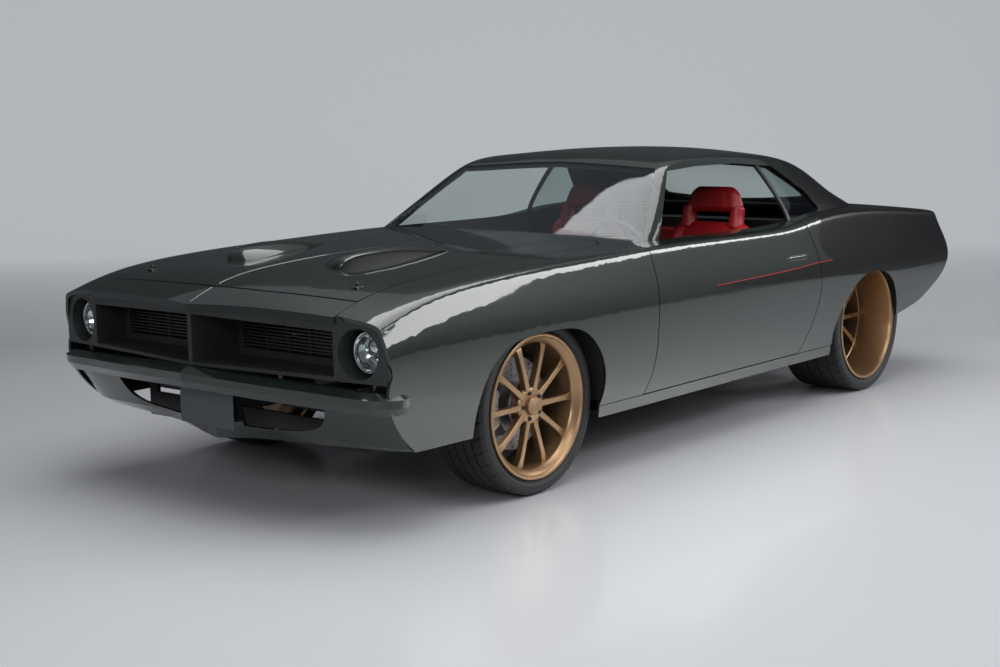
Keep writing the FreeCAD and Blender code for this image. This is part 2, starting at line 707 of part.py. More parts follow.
def rocker_panels():
    """Sill boxes under the doors, with a thin skin that runs on to both arches."""
    low = place_z(ROCKER_BOTTOM_share)
    high = place_z(LOWER_EDGE_share) - FIXED_GAP
    front = FRONT_AXLE_Y + ROCKER_FRONT_share * FRONT_TYRE_RADIUS
    rear = REAR_AXLE_Y + REAR_ARCH_shares[0][0] * REAR_TYRE_RADIUS
    strip = panel(block(FLOOR_SIDE, BODY_WIDTH, front, rear, low, high), BODY_OUTER, BODY_INNER)
    box_front = FRONT_AXLE_Y + FRONT_HOUSE_RADIUS
    box = block(FLOOR_SIDE + SEAT_GAP, BODY_WIDTH, box_front, rear, low, high).common(BODY_OUTER)
    return both_sides(fused([strip, box]))


def hood():
    """Hood with its hinge leaves."""
    lid = panel(hood_prism(0), BODY_OUTER, lower_body(LID_SKIN))
    rear = place_y(HOOD_REAR_share)
    top = place_z(LOWER_BODY_shares[7][4])
    leaf = block(LID_LEAF_X, LID_LEAF_X + LEAF_HEIGHT, rear - LID_LEAF_RUN, rear + PANEL_GAP - SEAT_GAP,
                 top - LID_LEAF_DROP, ROOF_HEIGHT).common(lower_body(LID_SKIN / 2))
    return fused([lid, leaf, mirrored(leaf)])


def cowl_beam():
    """Upright flange along the front of the cowl, which carries the hood's hinges."""
    front = place_y(HOOD_REAR_share) + PANEL_GAP
    side = place_x(HOOD_REAR_SIDE_share) - HOOD_CORNER
    low = place_z(LOWER_BODY_shares[7][4]) - LID_LEAF_DROP
    return block(-side, side, front, front + SHEET, low, ROOF_HEIGHT).common(BODY_OUTER)


def cowl_panel():
    """Panel between the hood and the windscreen, with a flange under the glass."""
    screen = [(x, y + GLASS_FLANGE) for x, y in plan_points(WINDSCREEN_shares)]
    opening = plan_prism(mirrored_outline(screen), UPPER_FOOT_HEIGHT, ROOF_HEIGHT)
    cowl = panel(cowl_prism(0), BODY_OUTER, BODY_INNER).cut(hood_prism(PANEL_GAP)).cut(opening)
    return fused([cowl, cowl_beam()])


def nose_panel():
    return panel(nose_prism(0), BODY_OUTER, lower_body(LID_SKIN))


def deck_lid():
    lid = panel(deck_prism(0), BODY_OUTER, lower_body(LID_SKIN))
    stop = place_y(DECK_FRONT_share)
    leaf = block(LID_LEAF_X, LID_LEAF_X + LEAF_HEIGHT, stop - PANEL_GAP + SEAT_GAP, stop + LID_LEAF_RUN,
                 place_z(LOWER_BODY_shares[15][4]) - LID_LEAF_DROP, ROOF_HEIGHT).common(lower_body(LID_SKIN / 2))
    return fused([lid, leaf, mirrored(leaf)])


def rear_deck_panel():
    """Panel between the rear window and the deck lid, deep enough at its rear to carry the lid's hinges."""
    deck = panel(rear_deck_prism(), BODY_OUTER, BODY_INNER)
    rear = place_y(DECK_FRONT_share) - PANEL_GAP
    side = place_x(DECK_SIDE_share)
    beam = block(-side, side, rear - SHEET, rear, place_z(LOWER_BODY_shares[15][4]) - LID_LEAF_DROP, ROOF_HEIGHT)
    return fused([deck, beam.common(BODY_OUTER)])


def roof_panel():
    """Roof with its windscreen pillars and rear sails, windows cut."""
    shell = CABIN_OUTER.cut(CABIN_INNER).cut(BODY_SEAT)
    shell = shell.cut(windscreen_prism(0)).cut(rear_window_prism(0)).cut(deck_prism(PANEL_GAP))
    return shell.cut(side_window_prism(-HALF_WIDTH, HALF_WIDTH))


def divider_points(width):
    foot_y = place_y(DIVIDER_FOOT_share)
    top_y = place_y(DIVIDER_TOP_share)
    return [(foot_y, place_z(BELT_HEIGHT_share) - SKIN), (foot_y + width, place_z(BELT_HEIGHT_share) - SKIN),
            (top_y + width, ROOF_HEIGHT), (top_y, ROOF_HEIGHT)]


def window_glass():
    """Windscreen, rear window and quarter windows, let into their openings."""
    outer = upper_body(GLASS_SETBACK)
    inner = upper_body(GLASS_SETBACK + GLASS_THICKNESS)
    screen = panel(windscreen_prism(-SEAT_GAP), outer, inner).cut(BODY_SEAT)
    rear = panel(rear_window_prism(-SEAT_GAP), outer, inner).cut(BODY_SEAT)
    side = side_window_prism(0, HALF_WIDTH)
    bar = divider_points(DIVIDER_WIDTH + SEAT_GAP)
    ahead = side_prism([(-HALF_LENGTH, 0), (bar[1][0], 0), bar[1], bar[2], (-HALF_LENGTH, ROOF_HEIGHT)], 0, HALF_WIDTH)
    quarter = panel(side, outer, inner).cut(BODY_SEAT).cut(ahead)
    return Part.makeCompound([screen, rear, quarter, mirrored(quarter)])


def window_trim():
    """Divider bars ahead of the quarter windows and drip rails along the roof."""
    outer = upper_body(GLASS_SETBACK / 2)
    inner = upper_body(ROOF_SKIN / 2)
    bar = side_prism(divider_points(DIVIDER_WIDTH), 0, HALF_WIDTH).common(side_window_prism(0, HALF_WIDTH))
    bar = panel(bar, outer, inner).cut(BODY_SEAT)
    return both_sides(bar)


# Nose, grille and lamps

def surround_plan(low, high):
    half = plan_points(SURROUND_FRONT_shares)
    half = half + [(half[-1][0], SURROUND_BACK_Y), (0, SURROUND_BACK_Y)]
    return plan_prism(mirrored_outline(half), low, high)


def grille_surround():
    """Dark housing in the nose with two deep pockets, a divider and two lamp wells."""
    body = surround_plan(SURROUND_LOW, ROOF_HEIGHT).common(lower_body(FIXED_GAP))
    body = body.cut(nose_prism(SEAT_GAP).common(BODY_OUTER).cut(lower_body(LID_SKIN + SEAT_GAP)))
    beside = fender_side(FIXED_GAP).cut(BODY_LINING)
    body = body.cut(beside).cut(mirrored(beside)).cut(hood_prism(LID_FRONT_GAP).cut(lower_body(LID_SKIN + PANEL_GAP)))
    front = place_y(FRONT_BUMPER_shares[0][0])
    mouth = [(POCKET_MOUTH_INNER, POCKET_MOUTH_LOW), (POCKET_MOUTH_OUTER, POCKET_MOUTH_LOW),
             (POCKET_MOUTH_OUTER, POCKET_MOUTH_HIGH - POCKET_MOUTH_DROP), (POCKET_MOUTH_INNER, POCKET_MOUTH_HIGH)]
    seat = [(POCKET_INNER, POCKET_LOW), (POCKET_OUTER, POCKET_LOW), (POCKET_OUTER, POCKET_HIGH),
            (POCKET_INNER, POCKET_HIGH)]
    ends = []
    for outline, y in ((mouth, front), (seat, POCKET_FACE_Y)):
        corners = [Vector(x, y, z) for x, z in outline]
        ends.append(Part.makePolygon(corners + corners[:1]))
    pocket = Part.makeLoft(ends, True, True)
    window = block(POCKET_INNER + GRILLE_FRAME, POCKET_OUTER - GRILLE_FRAME, front, 0,
                   POCKET_LOW + GRILLE_FRAME, POCKET_HIGH - GRILLE_FRAME)
    well = Part.makeCylinder(LAMP_RECESS_RADIUS, OVERRUN, Vector(LAMP_X, LAMP_FRONT_Y + LAMP_DEPTH, LAMP_Z),
                             Vector(0, -1, 0))
    for cutter in (pocket, window, well):
        body = body.cut(cutter).cut(mirrored(cutter))
    return body


def grille_bars():
    """Level bars across both grille windows, joined by upright stays."""
    x0 = POCKET_INNER + GRILLE_FRAME + SEAT_GAP
    x1 = POCKET_OUTER - GRILLE_FRAME - SEAT_GAP
    low = POCKET_LOW + GRILLE_FRAME
    high = POCKET_HIGH - GRILLE_FRAME
    step = (high - low) / (GRILLE_BAR_COUNT + 1)
    front = POCKET_FACE_Y + GRILLE_BAR_HEIGHT
    bars = []
    for index in range(GRILLE_BAR_COUNT):
        z = low + step * (index + 1) - GRILLE_BAR_HEIGHT / 2
        bars.append(block(x0, x1, front, front + GRILLE_BAR_DEPTH, z, z + GRILLE_BAR_HEIGHT))
    for share in GRILLE_STAY_shares:
        x = x0 + (x1 - x0) * share
        bars.append(block(x - GRILLE_BAR_HEIGHT / 2, x + GRILLE_BAR_HEIGHT / 2, front + GRILLE_BAR_HEIGHT,
                          front + GRILLE_BAR_DEPTH, low + SEAT_GAP, high - SEAT_GAP))
    return both_sides(fused(bars))


def revolved(profile, place, axis_x, axis_dir):
    """Solid of revolution: profile of (along, out) points turned about an axis through place."""
    points = [place + axis_dir * along + axis_x * out for along, out in profile]
    return polygon_face(points).revolve(place, axis_dir, 360)


def headlamps():
    """Round lamp units: a ring, a domed lens and a body behind."""
    place = Vector(LAMP_X, LAMP_FRONT_Y, LAMP_Z)
    rear = LAMP_DEPTH - SEAT_GAP
    profile = [(-LAMP_DOME, 0), (-LAMP_DOME * 0.8, LAMP_RADIUS * 0.45), (0, LAMP_RADIUS - LAMP_RING),
               (-LAMP_RING / 2, LAMP_RADIUS - LAMP_RING / 2), (0, LAMP_RADIUS), (LAMP_RING * 2, LAMP_RADIUS),
               (rear, LAMP_RADIUS / 2), (rear, 0)]
    return both_sides(revolved(profile, place, Vector(1, 0, 0), Vector(0, 1, 0)))


def offset_line(points, distance):
    """Points moved inward across a line that runs from the middle of the car out to a tip."""
    moved = []
    for index, (x, y) in enumerate(points):
        before = points[max(index - 1, 0)]
        after = points[min(index + 1, len(points) - 1)]
        run_x, run_y = after[0] - before[0], after[1] - before[1]
        length = math.hypot(run_x, run_y)
        side = 1 if y < 0 else -1
        normal_x, normal_y = -run_y * side / length, run_x * side / length
        if x == 0:
            normal_x, normal_y = 0, side
        moved.append((x + normal_x * distance, y + normal_y * distance))
    return moved


def band_wire(points, depth, inset, z):
    """Outline at one height of a bar that follows a line round the end of the car."""
    outer = offset_line(points, inset)
    inner = offset_line(points, depth)
    edges = []
    for line, flip in ((outer, 1), (inner, -1)):
        run = [Vector(x, y, z) for x, y in line]
        mirror = [Vector(-x, y, z) for x, y in line]
        if flip == 1:
            edges += [smooth_edge(mirror[::-1]), smooth_edge(run)]
        else:
            edges += [Part.makeLine(Vector(outer[-1][0], outer[-1][1], z), run[-1]), smooth_edge(run[::-1]),
                      smooth_edge(mirror), Part.makeLine(mirror[-1], Vector(-outer[-1][0], outer[-1][1], z))]
    return Part.Wire(edges)


def drooped(shape, droop):
    """Both halves of a shape sheared down toward the sides of the car."""
    half = shape.common(block(0, BODY_WIDTH, -BODY_LENGTH, BODY_LENGTH, 0, ROOF_HEIGHT))
    lean = FreeCAD.Matrix()
    lean.A31 = -droop
    left = half.transformGeometry(lean)
    return fused([left, mirrored(left)])


def bumper(shares, blade_shares, low, high):
    points = plan_points(shares)
    rows = [(low + (high - low) * up, BUMPER_DEPTH * back) for up, back in blade_shares]
    return Part.makeLoft([band_wire(points, BUMPER_DEPTH, back, z) for z, back in rows], True, True)


def front_bumper():
    """Front bumper blade with its wrapped tips, and the brackets behind it."""
    blade = drooped(bumper(FRONT_BUMPER_shares, FRONT_BLADE_shares, FRONT_BUMPER_LOW, FRONT_BUMPER_HIGH),
                    FRONT_DROOP_share)
    inner = SUPPORT_SIDE - SUPPORT_BORDER
    middle = (FRONT_BUMPER_LOW + FRONT_BUMPER_HIGH) / 2
    bracket = block(inner, SUPPORT_SIDE, place_y(FRONT_BUMPER_shares[1][0]) + BUMPER_DEPTH, RAIL_FRONT_Y - SEAT_GAP,
                    middle - SHEET, middle + SHEET)
    blade = fused([blade, bracket, mirrored(bracket)])
    fender = fender_side(SEAT_GAP).common(BODY_SEAT).cut(BODY_LINING)
    return blade.cut(fender).cut(mirrored(fender))


def rear_bumper():
    """Rear bumper blade and the brackets that hold it off the tail."""
    blade = bumper(REAR_BUMPER_shares, REAR_BLADE_shares, REAR_BUMPER_LOW, REAR_BUMPER_HIGH)
    tail = side_points(TAIL_LINE_shares)[4]
    middle = (REAR_BUMPER_LOW + REAR_BUMPER_HIGH) / 2
    bracket = block(SUPPORT_SIDE - SUPPORT_BORDER, SUPPORT_SIDE, tail[0], place_y(REAR_BUMPER_shares[2][0])
                    - BUMPER_DEPTH / 2, middle - SHEET / 2, middle + SHEET / 2)
    outline = moved_line(side_points(TAIL_LINE_shares), SEAT_GAP)
    body = side_prism(outline + [(0, outline[-1][1]), (0, outline[0][1])], -BODY_WIDTH, BODY_WIDTH)
    quarter = quarter_side(SEAT_GAP).common(BODY_SEAT).cut(BODY_LINING)
    whole = fused([blade, bracket, mirrored(bracket)]).cut(body)
    return whole.cut(quarter).cut(mirrored(quarter))


def front_valance():
    """Panel under the front bumper with two rounded mouths."""
    top = plan_points(VALANCE_TOP_shares)
    lip = plan_points(VALANCE_LIP_shares)
    high = FRONT_BUMPER_LOW - SEAT_GAP
    chin = plan_points(VALANCE_CHIN_shares)
    rows = [band_wire(lip, SHEET, 0, VALANCE_LOW), band_wire(chin, SHEET, 0, VALANCE_CHIN),
            band_wire(top, SHEET, 0, high)]
    outer = drooped(Part.makeLoft(rows, True, True), FRONT_DROOP_share)
    edge = [(place_x(out), place_z(up)) for out, up in VALANCE_EDGE_shares]
    trim = front_prism(edge + [(edge[-1][0], 0), (0, 0)], -HALF_LENGTH, 0)
    run = [(place_x(out), place_z(up)) for out, up in VALANCE_MOUTH_shares]
    corner = (run[0][0], place_z(VALANCE_MOUTH_TOP_share))
    runs = [run, [run[-1], corner], [corner, run[0]]]
    mouth = joined_face([[Vector(x, -HALF_LENGTH, z) for x, z in part] for part in runs])
    mouth = mouth.extrude(Vector(0, HALF_LENGTH, 0))
    fender = fender_side(FIXED_GAP).common(BODY_SEAT).cut(BODY_LINING)
    for cutter in (trim, mouth, fender, plate_hole()):
        outer = outer.cut(cutter).cut(mirrored(cutter))
    return outer


def plate_hole():
    """Cutter for the left hole near the plate's lower edge, which also runs through the panel behind it."""
    start = Vector(PLATE_HOLE_SPACING / 2, -HALF_LENGTH, PLATE_TOP - PLATE_HEIGHT + PLATE_HOLE_EDGE)
    return Part.makeCylinder(PLATE_HOLE_RADIUS, RAIL_FRONT_Y + HALF_LENGTH, start, Vector(0, 1, 0))


def front_plate():
    """Blank plate under the middle of the bumper, with two holes near its lower edge."""
    front = place_y(VALANCE_TOP_shares[0][0]) - PLATE_THICKNESS - SEAT_GAP + PLATE_SEAT
    plate = block(-PLATE_WIDTH / 2, PLATE_WIDTH / 2, front, front + PLATE_THICKNESS, PLATE_TOP - PLATE_HEIGHT,
                  PLATE_TOP)
    return plate.cut(plate_hole()).cut(mirrored(plate_hole()))


# Tail

def tail_panel():
    """Leaning panel across the tail, with a pocket for each lamp."""
    outer = side_points(TAIL_LINE_shares[1:5])
    inner = [(y - SHEET, z) for y, z in reversed(outer)]
    body = side_prism(outer + inner, -HALF_WIDTH, HALF_WIDTH).common(BODY_LINING)
    lamp = block(TAIL_LAMP_INNER, TAIL_LAMP_OUTER, 0, BODY_LENGTH, TAIL_LAMP_LOW, TAIL_LAMP_HIGH)
    return body.cut(lamp).cut(mirrored(lamp))


def tail_lamps():
    outer = side_points(TAIL_LINE_shares[1:5])
    inner = [(y - SHEET, z) for y, z in reversed(outer)]
    lamp = block(TAIL_LAMP_INNER + SEAT_GAP, TAIL_LAMP_OUTER - SEAT_GAP, 0, BODY_LENGTH, TAIL_LAMP_LOW + SEAT_GAP,
                 TAIL_LAMP_HIGH - SEAT_GAP)
    return both_sides(side_prism(moved_line(outer + inner, -SHEET / 4), -HALF_WIDTH, HALF_WIDTH).common(lamp))


def rear_valance():
    """Panel under the rear bumper."""
    high_y, high_z = side_points(TAIL_LINE_shares)[4]
    points = [(high_y, high_z - SEAT_GAP), (high_y - REAR_VALANCE_RUN, REAR_VALANCE_LOW),
              (high_y - REAR_VALANCE_RUN - SHEET, REAR_VALANCE_LOW), (high_y - SHEET, high_z - SEAT_GAP)]
    return side_prism(points, -REAR_VALANCE_SIDE, REAR_VALANCE_SIDE).common(BODY_LINING)


# Structure

def floor_pan():
    """Floor with its tunnel and kick-up, the rails below it, the rear bulkhead and the parcel shelf."""
    line = [(FLOOR_FRONT_Y, FLOOR_HEIGHT), (FLOOR_KICK_Y, FLOOR_HEIGHT), (KICK_TOP_Y, KICK_HEIGHT),
            (KICK_END_Y, KICK_HEIGHT), (BOOT_FLOOR_Y, BOOT_FLOOR_HEIGHT), (FLOOR_REAR_Y, BOOT_FLOOR_HEIGHT)]
    sheet = line + [(y, z + SHEET) for y, z in reversed(line)]
    middle = side_prism(sheet, -FLOOR_REAR_SIDE, FLOOR_REAR_SIDE)
    wide_end = REAR_AXLE_Y - REAR_HOUSE_RADIUS - SEAT_GAP
    wide = block(-FLOOR_SIDE, FLOOR_SIDE, FLOOR_FRONT_Y, wide_end, FLOOR_HEIGHT, FLOOR_HEIGHT + SHEET)
    wide = wide.cut(block(-FLOOR_REAR_SIDE, FLOOR_REAR_SIDE, FLOOR_KICK_Y + SHEET, wide_end + SHEET, 0, KICK_HEIGHT))
    slope = (KICK_TOP_Y - FLOOR_KICK_Y) / (KICK_HEIGHT - FLOOR_HEIGHT)
    tunnel_end = FLOOR_KICK_Y + slope * (TUNNEL_HEIGHT - FLOOR_HEIGHT)
    tunnel = block(-TUNNEL_SIDE, TUNNEL_SIDE, FLOOR_FRONT_Y, tunnel_end, FLOOR_HEIGHT, TUNNEL_HEIGHT)
    bore = block(-TUNNEL_SIDE + SHEET, TUNNEL_SIDE - SHEET, FLOOR_FRONT_Y - SHEET, KICK_END_Y, 0,
                 TUNNEL_HEIGHT - SHEET)
    rails = []
    for side in (1, -1):
        x0, x1 = sorted((side * RAIL_INNER, side * RAIL_OUTER))
        rails.append(block(x0, x1, RAIL_FRONT_Y, FLOOR_FRONT_Y + SHEET, RAIL_LOW, RAIL_HIGH))
        rails.append(block(x0, x1, FLOOR_FRONT_Y - TUNNEL_SIDE, FLOOR_KICK_Y, UNDER_RAIL_LOW, FLOOR_HEIGHT))
        rails.append(block(x0, x1, FLOOR_FRONT_Y - TUNNEL_SIDE, FLOOR_FRONT_Y, FLOOR_HEIGHT, RAIL_LOW))
        x0, x1 = sorted((side * REAR_RAIL_INNER, side * REAR_RAIL_OUTER))
        below = [(y, z - REAR_RAIL_DEPTH) for y, z in reversed(line[1:])]
        rails.append(side_prism(line[1:] + below, x0, x1))
        x0, x1 = sorted((side * SPRING_INNER, side * SPRING_OUTER))
        front, rear = REAR_AXLE_Y + LEAF_LINE[0][0], REAR_AXLE_Y + LEAF_LINE[-1][0]
        rails.append(block(x0, x1, front, front + 2 * SHEET, LEAF_LINE[0][1] + SPRING_EYE,
                           FLOOR_HEIGHT + SHEET + SPRING_EYE))
        rails.append(block(x0, x1, rear - 2 * SHEET, rear, LEAF_LINE[-1][1] + SPRING_EYE, BOOT_FLOOR_HEIGHT))
    bulkhead = block(-SHELF_SIDE, SHELF_SIDE, BULKHEAD_Y, BULKHEAD_Y + SHEET, KICK_HEIGHT, SHELF_HEIGHT)
    shelf = block(-SHELF_SIDE, SHELF_SIDE, BULKHEAD_Y, SHELF_REAR_Y, SHELF_HEIGHT - SHEET, SHELF_HEIGHT)
    support = block(-SUPPORT_SIDE, SUPPORT_SIDE, RAIL_FRONT_Y, RAIL_FRONT_Y + SHEET, RAIL_LOW, SUPPORT_HIGH)
    window = block(-SUPPORT_SIDE + SUPPORT_BORDER, SUPPORT_SIDE - SUPPORT_BORDER, -HALF_LENGTH, 0,
                   RAIL_HIGH + SHEET, SUPPORT_HIGH - SUPPORT_BORDER)
    whole = fused([middle, wide, tunnel] + rails + [bulkhead, shelf, support.cut(window)])
    return whole.cut(bore)


def firewall():
    """Upright panel ahead of the cabin with the hinge pillars at its ends."""
    wall = block(-PILLAR_INNER, PILLAR_INNER, FLOOR_FRONT_Y - SEAT_GAP - SHEET, FLOOR_FRONT_Y - SEAT_GAP,
                 FLOOR_HEIGHT, ROOF_HEIGHT)
    pillar = block(PILLAR_INNER, PILLAR_OUTER, PILLAR_FRONT_Y, PILLAR_REAR_Y, RAIL_HIGH, ROOF_HEIGHT)
    web = block(PILLAR_INNER - SHEET, PILLAR_INNER, PILLAR_FRONT_Y, FLOOR_FRONT_Y - SEAT_GAP, RAIL_HIGH,
                ROOF_HEIGHT)
    half = TUNNEL_SIDE - SHEET
    tunnel = block(-half, half, -HALF_LENGTH, 0, 0, TUNNEL_HEIGHT - SHEET)
    wall = fused([wall.cut(tunnel), pillar, web, mirrored(pillar), mirrored(web)])
    for side in (1, -1):
        x0, x1 = sorted((side * (RAIL_INNER - SEAT_GAP), side * (RAIL_OUTER + SEAT_GAP)))
        wall = wall.cut(block(x0, x1, -HALF_LENGTH, 0, 0, RAIL_HIGH + SEAT_GAP))
    return wall.common(BODY_LINING)


def house(axle_y, axle_z, radius, inner, hole, rear_low):
    """Tub over one wheel, open below and outward."""
    outer = rod_x(inner, HALF_WIDTH, axle_y, axle_z, radius)
    tub = outer.cut(rod_x(inner + HOUSE_WALL, BODY_WIDTH, axle_y, axle_z, radius - HOUSE_WALL))
    tub = tub.cut(block(0, BODY_WIDTH, -HALF_LENGTH, HALF_LENGTH, 0, HOUSE_LOW))
    tub = tub.cut(block(0, BODY_WIDTH, axle_y, HALF_LENGTH, 0, rear_low))
    tub = tub.cut(block(0, inner + HOUSE_WALL, axle_y - ARM_HOLE_HALF, axle_y + ARM_HOLE_HALF, 0, hole))
    return tub.common(BODY_LINING)


def wheelhouses():
    front = house(FRONT_AXLE_Y, FRONT_TYRE_RADIUS, FRONT_HOUSE_RADIUS, FRONT_HOUSE_INNER, UPPER_ARM_Z + 3 * ARM_THICKNESS,
                  HOUSE_LOW)
    rear = house(REAR_AXLE_Y, REAR_TYRE_RADIUS, REAR_HOUSE_RADIUS, REAR_HOUSE_INNER, REAR_TYRE_RADIUS * 1.3,
                 REAR_HOUSE_LOW)
    return Part.makeCompound([front, mirrored(front), rear, mirrored(rear)])


# Cabin

def dashboard():
    """Dash with a hood over the instruments, and the steering column."""
    top = DASH_TOP
    profile = [(DASH_FRONT_Y, DASH_LOW), (DASH_REAR_Y - DASH_DROP, DASH_LOW), (DASH_REAR_Y, DASH_LOW + DASH_DROP),
               (DASH_REAR_Y, top - DASH_DROP), (DASH_REAR_Y - DASH_DROP, top), (DASH_FRONT_Y, top)]
    body = side_prism(profile, -DASH_SIDE, DASH_SIDE)
    tilt = math.radians(STEERING_TILT)
    forward = Vector(0, -math.cos(tilt), -math.sin(tilt))
    start = Vector(COLUMN_X, STEERING_Y, STEERING_Z)
    column = Part.makeCylinder(COLUMN_RADIUS * 2, COLUMN_LENGTH - COLUMN_STEP, start + forward * COLUMN_STEP, forward)
    shaft = Part.makeCylinder(COLUMN_RADIUS, COLUMN_LENGTH, start, forward)
    return fused([body, column, shaft])


def steering_wheel():
    tilt = math.radians(STEERING_TILT)
    forward = Vector(0, -math.cos(tilt), -math.sin(tilt))
    centre = Vector(COLUMN_X, STEERING_Y, STEERING_Z)
    rim = Part.makeTorus(STEERING_RADIUS, STEERING_RIM, centre, forward)
    hub = Part.makeCylinder(COLUMN_RADIUS * 2, COLUMN_STEP - SEAT_GAP + HUB_CAP_RADIUS / 2,
                            centre - forward * (HUB_CAP_RADIUS / 2), forward)
    spokes = []
    for turn in (90, 210, 330):
        angle = math.radians(turn)
        up = Vector(1, 0, 0).cross(forward)
        out = Vector(1, 0, 0) * math.cos(angle) - up * math.sin(angle)
        spokes.append(Part.makeCylinder(STEERING_RIM * 0.7, STEERING_RADIUS, centre, out))
    wheel = fused([rim, hub] + spokes)
    return wheel.cut(Part.makeCylinder(COLUMN_RADIUS + SPINDLE_CLEARANCE, COLUMN_LENGTH, centre, forward))


def front_seats():
    """Pair of one-piece seats: a low cushion and a tall back with its headrest."""
    half = SEAT_WIDTH / 2
    side = [(y, z + SEAT_BASE) for y, z in SEAT_PROFILE]
    seat = side_prism(side, SEAT_X - half, SEAT_X + half)
    outline = [(SEAT_X + x * half, SEAT_BASE + z * SEAT_HEIGHT) for x, z in SEAT_FRONT_shares]
    back = front_prism(outline, -HALF_LENGTH, HALF_LENGTH)
    return both_sides(seat.common(back))


def rear_seat():
    """Bench over the kick-up: a cushion and a back against the bulkhead."""
    low = FLOOR_HEIGHT + SHEET + SEAT_GAP
    high = KICK_HEIGHT + SHEET + SEAT_GAP
    back = BULKHEAD_Y - SEAT_GAP
    side = [(REAR_SEAT_FRONT_Y, low), (FLOOR_KICK_Y - SEAT_GAP, low), (KICK_TOP_Y - SEAT_GAP, high), (back, high),
            (back, REAR_SEAT_BACK_TOP), (back - REAR_SEAT_BACK_DEPTH / 2, REAR_SEAT_BACK_TOP),
            (back - REAR_SEAT_BACK_DEPTH * 1.4, REAR_SEAT_HEIGHT + SHEET), (REAR_SEAT_FRONT_Y, REAR_SEAT_HEIGHT)]
    bench = side_prism(side, -REAR_SEAT_HALF, REAR_SEAT_HALF)
    half = TUNNEL_SIDE + SEAT_GAP
    return bench.cut(block(-half, half, 0, KICK_TOP_Y, 0, TUNNEL_HEIGHT + SEAT_GAP))


# Engine, driveline and running gear

def engine_block():
    """Engine as one plain block with its mounts on the rails."""
    half = ENGINE_WIDTH / 2
    section = [(-half * 0.5, ENGINE_LOW), (half * 0.5, ENGINE_LOW), (half, ENGINE_LOW + half * 0.7),
               (half, ENGINE_HIGH - half * 0.4), (half * 0.6, ENGINE_HIGH), (-half * 0.6, ENGINE_HIGH),
               (-half, ENGINE_HIGH - half * 0.4), (-half, ENGINE_LOW + half * 0.7)]
    body = front_prism(section, ENGINE_FRONT_Y, ENGINE_REAR_Y)
    middle = (ENGINE_FRONT_Y + ENGINE_REAR_Y) / 2
    mount = block(-RAIL_OUTER, RAIL_OUTER, middle - MOUNT_HALF, middle + MOUNT_HALF, RAIL_HIGH + SEAT_GAP,
                  RAIL_HIGH + SEAT_GAP + 2 * SHEET)
    return fused([body, mount])


def driveline():
    """Gearbox behind the engine and the shaft to the rear axle."""
    half = TUNNEL_SIDE - 2 * SHEET
    box = block(-half, half, ENGINE_REAR_Y + SEAT_GAP, GEARBOX_REAR_Y, FLOOR_HEIGHT, TUNNEL_HEIGHT - 2 * SHEET)
    z = SHAFT_Z
    shaft = Part.makeCylinder(SHAFT_RADIUS, REAR_AXLE_Y - DIFF_RADIUS - SEAT_GAP - GEARBOX_REAR_Y,
                              Vector(0, GEARBOX_REAR_Y, z), Vector(0, 1, 0))
    return fused([box, shaft])


def exhaust():
    """Two pipes with mufflers, hung from the rails."""
    pipe = Part.makeCylinder(EXHAUST_RADIUS, EXHAUST_REAR_Y - EXHAUST_FRONT_Y,
                             Vector(EXHAUST_X, EXHAUST_FRONT_Y, EXHAUST_Z), Vector(0, 1, 0))
    muffler = block(EXHAUST_X - 2 * EXHAUST_RADIUS, EXHAUST_X + 2 * EXHAUST_RADIUS, MUFFLER_FRONT_Y, MUFFLER_REAR_Y,
                    EXHAUST_Z - EXHAUST_RADIUS * 1.4, EXHAUST_Z + EXHAUST_RADIUS * 1.4)
    hanger = block(EXHAUST_X - SHEET / 2, EXHAUST_X + SHEET / 2, 0, SHEET, EXHAUST_Z, FLOOR_HEIGHT - SEAT_GAP)
    return both_sides(fused([pipe, muffler, hanger]))


def fuel_tank():
    return block(-TANK_HALF, TANK_HALF, BOOT_FLOOR_Y + SHEET, FLOOR_REAR_Y - SHEET, TANK_LOW,
                 BOOT_FLOOR_HEIGHT - SEAT_GAP)


def front_suspension():
    """Crossmember between the rails and two arms a side that hold the knuckles."""
    y = FRONT_AXLE_Y
    root = RAIL_OUTER + SEAT_GAP
    member = block(-root - SHEET, root + SHEET, y - 2 * MOUNT_HALF, y + 2 * MOUNT_HALF, RAIL_LOW - 2 * SHEET,
                   RAIL_LOW - SEAT_GAP)
    kingpin = FRONT_TRACK_HALF - KINGPIN_OFFSET
    arms = [member]
    for z in (LOWER_ARM_Z, UPPER_ARM_Z):
        outline = [(root, y - MOUNT_HALF * 2), (kingpin, y - MOUNT_HALF / 2), (kingpin + MOUNT_HALF / 2, y),
                   (kingpin, y + MOUNT_HALF / 2), (root, y + MOUNT_HALF * 2)]
        arm = plan_prism(outline, z, z + ARM_THICKNESS)
        arms += [arm, mirrored(arm)]
    foot = block(root, root + SHEET, y - 2 * MOUNT_HALF, y + 2 * MOUNT_HALF, RAIL_LOW - 2 * SHEET,
                 UPPER_ARM_Z + ARM_THICKNESS)
    frame = fused(arms + [foot, mirrored(foot)])
    bolt = Part.makeCylinder(KINGPIN_RADIUS + SPINDLE_CLEARANCE, OVERRUN * 2, Vector(kingpin, y, 0), Vector(0, 0, 1))
    return frame.cut(bolt).cut(mirrored(bolt))


